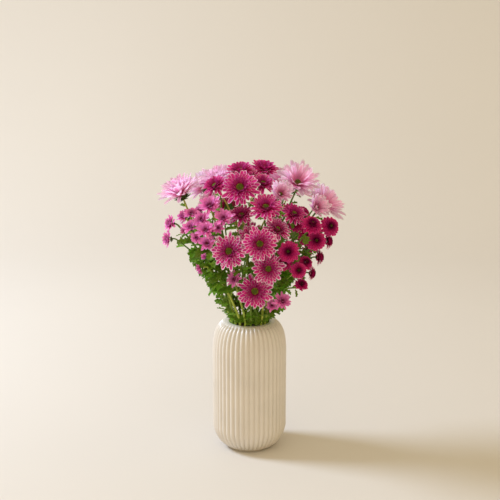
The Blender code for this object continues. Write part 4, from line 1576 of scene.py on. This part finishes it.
def scatter_leaves(rng, settings):
    """Rows of (base, direction, length, roll) along the stems, thickest just above the mouth."""
    flowers, stems, branches, planned = bunch()
    rows = []
    for leaf in planned:
        lift = 0.8 * max(0.0, 1 - (leaf.base[2] - JAR_HEIGHT) / 0.05)
        direction = unit(leaf.direction + (0, 0, lift))
        length = leaf.length * room(leaf.base + direction * leaf.length)
        rows.append((leaf.base, direction, length, 0.2))
    routes = [*stems.values(), *branches]
    for route in routes:
        steps = np.linalg.norm(np.diff(route.points, axis=0), axis=1)
        length = steps.sum()
        marks = np.concatenate([[0], np.cumsum(steps)])
        spacing = settings.leaf_spacing * (1.0 if route.radius == STEM_RADIUS else 1.6)
        place = rng.uniform(0.2, 1.0) * spacing
        turn = rng.uniform(0, math.tau)
        while place < length - 0.012:
            here = np.array([np.interp(place, marks, route.points[:, n]) for n in range(3)])
            after = np.array([np.interp(place + 0.003, marks, route.points[:, n]) for n in range(3)])
            tangent = unit(after - here)
            outward = unit(np.array((here[0], here[1], 0.0)) + 1e-6)
            turn += 2.4 + rng.uniform(-0.4, 0.4)
            round_it = np.array((math.cos(turn), math.sin(turn), 0.0))
            away = round_it * 0.75 + outward * 0.75
            away = unit(away - tangent * (away @ tangent))
            height = here[2] - JAR_HEIGHT
            direction = unit(away + tangent * rng.uniform(0.2, 0.9))
            size = np.interp(height, (0.0, 0.06, 0.14, 0.20), (0.030, 0.026, 0.019, 0.014))
            size *= rng.uniform(0.7, 1.2)
            if height > 0.004 + size * 0.25 and here[2] + direction[2] * size > JAR_HEIGHT + 0.004:
                size *= room(here + direction * size)
                tip = here + direction * size
                open_front = here[1] < -0.008 and abs(here[0]) < 0.030 and height < 0.055
                bare = open_front and rng.uniform() < BARE_FRONT_SHARE
                middle = (here + tip) / 2
                if not bare and not any(near_flower(point, flowers, 0.004) for point in (tip, middle)):
                    rows.append((here, direction, size, rng.uniform(-0.7, 0.7)))
            place += spacing * rng.uniform(0.7, 1.3)
    return rows + collar_leaves(rng, settings, flowers)


def collar_leaves(rng, settings, flowers):
    """Rows for the leaves that crowd the mouth: low ones along the rim, higher ones behind."""
    rows = []
    for n in range(settings.collar_leaves):
        turn = n * GOLDEN_ANGLE
        side = 1 if n % 2 else -1
        outward = np.array((math.cos(turn), math.sin(turn), 0.0))
        around = np.array((-outward[1], outward[0], 0.0)) * side
        height = rng.uniform(0.000, 0.016)
        out = MOUTH_RADIUS - 0.0045 + height * 0.35
        rise = rng.uniform(0.0, 1.0)
        if n % 3 and outward[1] > -0.25:
            height = rng.uniform(0.004, 0.060)
            out = rng.uniform(0.30, 1.0) * (out + height * 0.45)
            rise = rng.uniform(0.3, 1.0)
        base = outward * out + (0, 0, JAR_HEIGHT + height)
        direction = unit(around + outward * rng.uniform(-0.3, 0.25) + (0, 0, rise))
        size = rng.uniform(0.013, 0.025)
        if not near_flower(base + direction * size, flowers, 0.003):
            rows.append((base, direction, size, side * rng.uniform(0.3, 1.2)))
    return rows


def near_flower(point, flowers, margin):
    for flower in flowers:
        away = point - flower.middle
        ahead = float(away @ flower.axis)
        across = math.sqrt(max(0.0, float(away @ away) - ahead * ahead))
        if math.hypot(across / (flower.radius + margin), ahead / (flower.half_depth + margin)) < 1:
            return True
    return False


def grow_leaves(name, rows, columns, along, seed, material):
    mesh = bpy.data.meshes.new(name + "_points")
    mesh.from_pydata([tuple(row[0]) for row in rows], [], [])
    aims = np.array([row[1] for row in rows], dtype=np.float32)
    mesh.attributes.new("aim", "FLOAT_VECTOR", "POINT").data.foreach_set("vector", aims.ravel())
    mesh.attributes.new("length", "FLOAT", "POINT").data.foreach_set("value", [row[2] for row in rows])
    mesh.attributes.new("roll", "FLOAT", "POINT").data.foreach_set("value", [row[3] for row in rows])
    mesh.attributes.new("leaf", "FLOAT", "POINT").data.foreach_set("value", range(len(rows)))
    inputs = {
        "Width Share": 0.74,
        "Lobe Depth": 0.56,
        "Fold": 0.30,
        "Droop": 0.7,
        "Seed": seed,
        "Columns": columns,
        "Rows": along,
        "Material": material,
    }
    obj = grown(bpy.data.objects.new(mesh.name, mesh), leaf_tree(), inputs, name)
    add_piece(obj, "pink_flowers", *SPRAYS)


def make_leaves(settings):
    rows = scatter_leaves(np.random.default_rng(7), settings)
    blade = green_material("leaf_blade", settings.leaf_colour, settings.tip_colour, 0.5, 0.35, 0.5)
    large = [row for row in rows if row[2] >= settings.large_leaf]
    small = [row for row in rows if row[2] < settings.large_leaf]
    grow_leaves("large_leaves", large, 9, 25, 9, blade)
    grow_leaves("small_leaves", small, 5, 14, 10, blade)


# ----------------------------------------------------------------------------------------------
# Stage
# ----------------------------------------------------------------------------------------------
def stage_sweep(settings):
    """A pale floor that curves up into a backdrop."""
    bm = bmesh.new()
    curve = 1.2
    profile = [(-16.0, 0.0), (curve, 0.0)]
    for a in np.linspace(0.1, math.pi / 2, 14):
        profile.append((curve + math.sin(a) * curve, curve - math.cos(a) * curve))
    profile.append((2 * curve, 4.5))
    left = [bm.verts.new((-12.0, y, z)) for y, z in profile]
    right = [bm.verts.new((12.0, y, z)) for y, z in profile]
    for n in range(len(profile) - 1):
        bm.faces.new((left[n], right[n], right[n + 1], left[n + 1]))
    mesh = bpy.data.meshes.new("backdrop")
    bm.to_mesh(mesh)
    bm.free()
    mesh.shade_smooth()
    sweep = bpy.data.objects.new("backdrop", mesh)
    bpy.context.scene.collection.objects.link(sweep)
    make = ShaderMaker("backdrop_paper", 0.9, Specular_IOR_Level=0.1)
    cloud = make.noise(make.position(), 1.5)
    make.colour(make.tint((*settings.paper_colour, 1.0), cloud.ramp(0.2, 0.8, 0.99, 1.01)))
    mesh.materials.append(make.material)


def add_light(name, place, target, size, power, colour):
    light = bpy.data.lights.new(name, "AREA")
    light.shape = "DISK"
    light.size, light.energy, light.color = size, power, colour
    obj = bpy.data.objects.new(name, light)
    obj.location = place
    obj.rotation_euler = (Vector(target) - Vector(place)).to_track_quat("-Z", "Y").to_euler()
    bpy.context.scene.collection.objects.link(obj)


CAMERA_RISE = 13.66  # in degrees above level
CAMERA_TARGET = (0.001, 0, 0.309)


def make_stage(settings):
    stage_sweep(settings)
    cool, warm = (0.664, 0.779, 1.0), (1.0, 0.90, 0.75)
    add_light("key_light", (-1.95, 0.42, 1.85), (0, 0, 0.2), 0.85, settings.key_power, cool)
    add_light("fill_light", (-0.8, -2.6, 1.9), (0, 0, 0.3), 2.2, settings.fill_power, warm)
    world = bpy.data.worlds.new("room_light")
    world.use_nodes = True
    world.node_tree.nodes["Background"].inputs["Color"].default_value = (1.0, 0.844, 0.584, 1)
    world.node_tree.nodes["Background"].inputs["Strength"].default_value = settings.room_strength
    bpy.context.scene.world = world
    bpy.context.scene.view_settings.view_transform = "Standard"
    camera = bpy.data.objects.new("camera", bpy.data.cameras.new("camera"))
    camera.data.lens = settings.lens
    rise = math.radians(CAMERA_RISE)
    target = Vector(CAMERA_TARGET)
    back = Vector((0, -math.cos(rise), math.sin(rise)))
    camera.location = target + back * settings.distance
    camera.rotation_euler = (-back).to_track_quat("-Z", "Y").to_euler()
    bpy.context.scene.collection.objects.link(camera)
    bpy.context.scene.camera = camera


# ----------------------------------------------------------------------------------------------
# Settings, operators and panel
# ----------------------------------------------------------------------------------------------
def colour_property(name, description, default):
    limits = {"size": 3, "min": 0, "max": 1}
    return FloatVectorProperty(
        name=name, description=description, default=default, subtype="COLOR", **limits
    )


def petals_property(default):
    return IntProperty(name="Petals", description="Petals on a flower", default=default, min=8)


class JarSettings(bpy.types.PropertyGroup):
    rib_count: IntProperty(
        name="Ribs", description="Upright ribs round the jar", default=RIB_COUNT, min=8
    )
    rib_depth: FloatProperty(
        name="Rib depth", description="From crest to groove", default=0.0022, min=0, unit="LENGTH"
    )
    glaze_colour: colour_property("Glaze", "Colour of the ribs", (0.74, 0.675, 0.585))
    # Colour of the painted shade in the grooves between the ribs and at the foot.
    painted_shade_colour: colour_property("Grooves", "Colour where glaze pools", (0.46, 0.38, 0.26))


class DuoSettings(bpy.types.PropertyGroup):
    petal_count: petals_property(84)
    throat_colour: colour_property("Throat", "Colour at a petal's root", (0.42, 0.002, 0.065))
    blade_colour: colour_property("Blade", "Colour along a petal", (0.70, 0.03, 0.30))
    rim_colour: colour_property("Rim", "Colour of a petal's edge", (0.97, 0.70, 0.88))


class SpiderSettings(bpy.types.PropertyGroup):
    petal_count: petals_property(190)
    throat_colour: colour_property("Throat", "Colour at a petal's root", (0.92, 0.36, 0.64))
    blade_colour: colour_property("Blade", "Colour along a petal", (1.0, 0.71, 0.91))
    rim_colour: colour_property("Rim", "Colour of a petal's edge", (1.0, 0.93, 0.98))


class DaisySettings(bpy.types.PropertyGroup):
    petal_count: petals_property(58)
    throat_colour: colour_property("Throat", "Colour at a petal's root", (0.86, 0.32, 0.60))
    blade_colour: colour_property("Blade", "Colour along a petal", (0.99, 0.66, 0.88))
    rim_colour: colour_property("Rim", "Colour of a petal's edge", (1.0, 0.94, 0.99))


class ButtonSettings(bpy.types.PropertyGroup):
    petal_count: petals_property(116)
    throat_colour: colour_property("Throat", "Colour at a petal's root", (0.13, 0.001, 0.035))
    blade_colour: colour_property("Blade", "Colour along a petal", (0.54, 0.008, 0.17))
    rim_colour: colour_property("Rim", "Colour of a petal's edge", (0.88, 0.09, 0.38))


class PinkSettings(bpy.types.PropertyGroup):
    petal_count: petals_property(56)
    throat_colour: colour_property("Throat", "Colour at a petal's root", (0.58, 0.02, 0.28))
    blade_colour: colour_property("Blade", "Colour along a petal", (0.93, 0.25, 0.66))
    rim_colour: colour_property("Rim", "Colour of a petal's edge", (0.97, 0.55, 0.84))


class StemSettings(bpy.types.PropertyGroup):
    ridge_height: FloatProperty(
        name="Ridges",
        description="Height of the skin's unevenness",
        default=0.0005,
        min=0,
        unit="LENGTH",
    )
    foot_colour: colour_property("Foot", "Colour near the cut end", (0.30, 0.44, 0.05))
    top_colour: colour_property("Top", "Colour near the flowers", (0.16, 0.30, 0.04))
    ripe_colour: colour_property("Ripe", "Colour of the yellower stems", (0.46, 0.54, 0.08))


class LeafSettings(bpy.types.PropertyGroup):
    leaf_spacing: FloatProperty(
        name="Spacing",
        description="Along a stem, from leaf to leaf",
        default=0.008,
        min=0.004,
        unit="LENGTH",
    )
    collar_leaves: IntProperty(
        name="Collar", description="Leaves crowded round the mouth", default=96, min=0
    )
    large_leaf: FloatProperty(
        name="Large leaf",
        description="Length from which a leaf gets a finer edge",
        default=0.031,
        min=0,
        unit="LENGTH",
    )
    leaf_colour: colour_property("Leaf", "Colour near the stalk", (0.26, 0.46, 0.03))
    tip_colour: colour_property("Leaf edge", "Colour towards the edge", (0.16, 0.33, 0.018))


class StageSettings(bpy.types.PropertyGroup):
    paper_colour: colour_property("Backdrop", "Colour of floor and backdrop", (0.715, 0.675, 0.61))
    key_power: FloatProperty(
        name="Key light",
        description="Power of the light from the left",
        default=66.0,
        min=0,
        unit="POWER",
    )
    fill_power: FloatProperty(
        name="Fill light",
        description="Power of the light from the front",
        default=6.0,
        min=0,
        unit="POWER",
    )
    room_strength: FloatProperty(
        name="Room light", description="Strength of the light from all round", default=0.79, min=0
    )
    lens: FloatProperty(
        name="Lens", description="Focal length of the camera", default=82.7, min=10, unit="CAMERA"
    )
    distance: FloatProperty(
        name="Distance",
        description="From the camera to the bunch",
        default=1.715,
        min=0.1,
        unit="LENGTH",
    )


class MakeJar(bpy.types.Operator):
    """Make the ribbed jar"""

    bl_idname = "bunch.make_jar"
    bl_label = "Make Jar"

    def execute(self, context):
        make_jar(context.scene.jar_settings)
        return {"FINISHED"}


class MakeStems(bpy.types.Operator):
    """Make the stems and their branches"""

    bl_idname = "bunch.make_stems"
    bl_label = "Make Stems"

    def execute(self, context):
        make_stems(context.scene.stem_settings)
        return {"FINISHED"}


class MakeLeaves(bpy.types.Operator):
    """Make the lobed leaves"""

    bl_idname = "bunch.make_leaves"
    bl_label = "Make Leaves"

    def execute(self, context):
        make_leaves(context.scene.leaf_settings)
        return {"FINISHED"}


class MakeDuo(bpy.types.Operator):
    """Make the bicoloured flowers"""

    bl_idname = "bunch.make_duo"
    bl_label = "Make Bicoloured Flowers"

    def execute(self, context):
        make_duo(context.scene.duo_settings)
        return {"FINISHED"}


class MakeSpider(bpy.types.Operator):
    """Make the many-petalled pale flowers"""

    bl_idname = "bunch.make_spider"
    bl_label = "Make Quilled Flowers"

    def execute(self, context):
        make_spider(context.scene.spider_settings)
        return {"FINISHED"}


class MakeDaisy(bpy.types.Operator):
    """Make the pale daisy flowers"""

    bl_idname = "bunch.make_daisy"
    bl_label = "Make Daisy Flowers"

    def execute(self, context):
        make_daisy(context.scene.daisy_settings)
        return {"FINISHED"}


class MakeButton(bpy.types.Operator):
    """Make the crimson button flowers"""

    bl_idname = "bunch.make_button"
    bl_label = "Make Button Flowers"

    def execute(self, context):
        make_button(context.scene.button_settings)
        return {"FINISHED"}


class MakePink(bpy.types.Operator):
    """Make the small rose flowers"""

    bl_idname = "bunch.make_pink"
    bl_label = "Make Small Flowers"

    def execute(self, context):
        make_pink(context.scene.pink_settings)
        return {"FINISHED"}


class MakeStage(bpy.types.Operator):
    """Make the backdrop, the lights and the camera"""

    bl_idname = "bunch.make_stage"
    bl_label = "Make Stage"

    def execute(self, context):
        make_stage(context.scene.stage_settings)
        return {"FINISHED"}


SETTINGS = {
    "jar_settings": JarSettings,
    "stem_settings": StemSettings,
    "leaf_settings": LeafSettings,
    "duo_settings": DuoSettings,
    "spider_settings": SpiderSettings,
    "daisy_settings": DaisySettings,
    "button_settings": ButtonSettings,
    "pink_settings": PinkSettings,
    "stage_settings": StageSettings,
}
FLOWER_OPERATORS = (MakeDuo, MakeSpider, MakeDaisy, MakeButton, MakePink)
OPERATORS = (MakeStage, MakeJar, MakeStems, MakeLeaves, *FLOWER_OPERATORS)


class BunchPanel(bpy.types.Panel):
    """Sizes and colours of the bunch, and the buttons that make its pieces"""

    bl_idname = "VIEW3D_PT_bunch"
    bl_label = "Chrysanthemums in a Jar"
    bl_space_type = "VIEW_3D"
    bl_region_type = "UI"
    bl_category = "Bunch"

    def draw(self, context):
        for name, group in SETTINGS.items():
            box = self.layout.box()
            for setting in group.__annotations__:
                box.prop(getattr(context.scene, name), setting)
        for operator in OPERATORS:
            self.layout.operator(operator.bl_idname)


def register():
    for cls in (*SETTINGS.values(), *OPERATORS, BunchPanel):
        bpy.utils.register_class(cls)
    for name, group in SETTINGS.items():
        setattr(bpy.types.Scene, name, PointerProperty(type=group))


def unregister():
    for name in SETTINGS:
        delattr(bpy.types.Scene, name)
    for cls in reversed((*SETTINGS.values(), *OPERATORS, BunchPanel)):
        bpy.utils.unregister_class(cls)


def main():
    register()
    for operator in OPERATORS:
        group, name = operator.bl_idname.split(".")
        getattr(getattr(bpy.ops, group), name)()


if __name__ == "__main__":
    main()
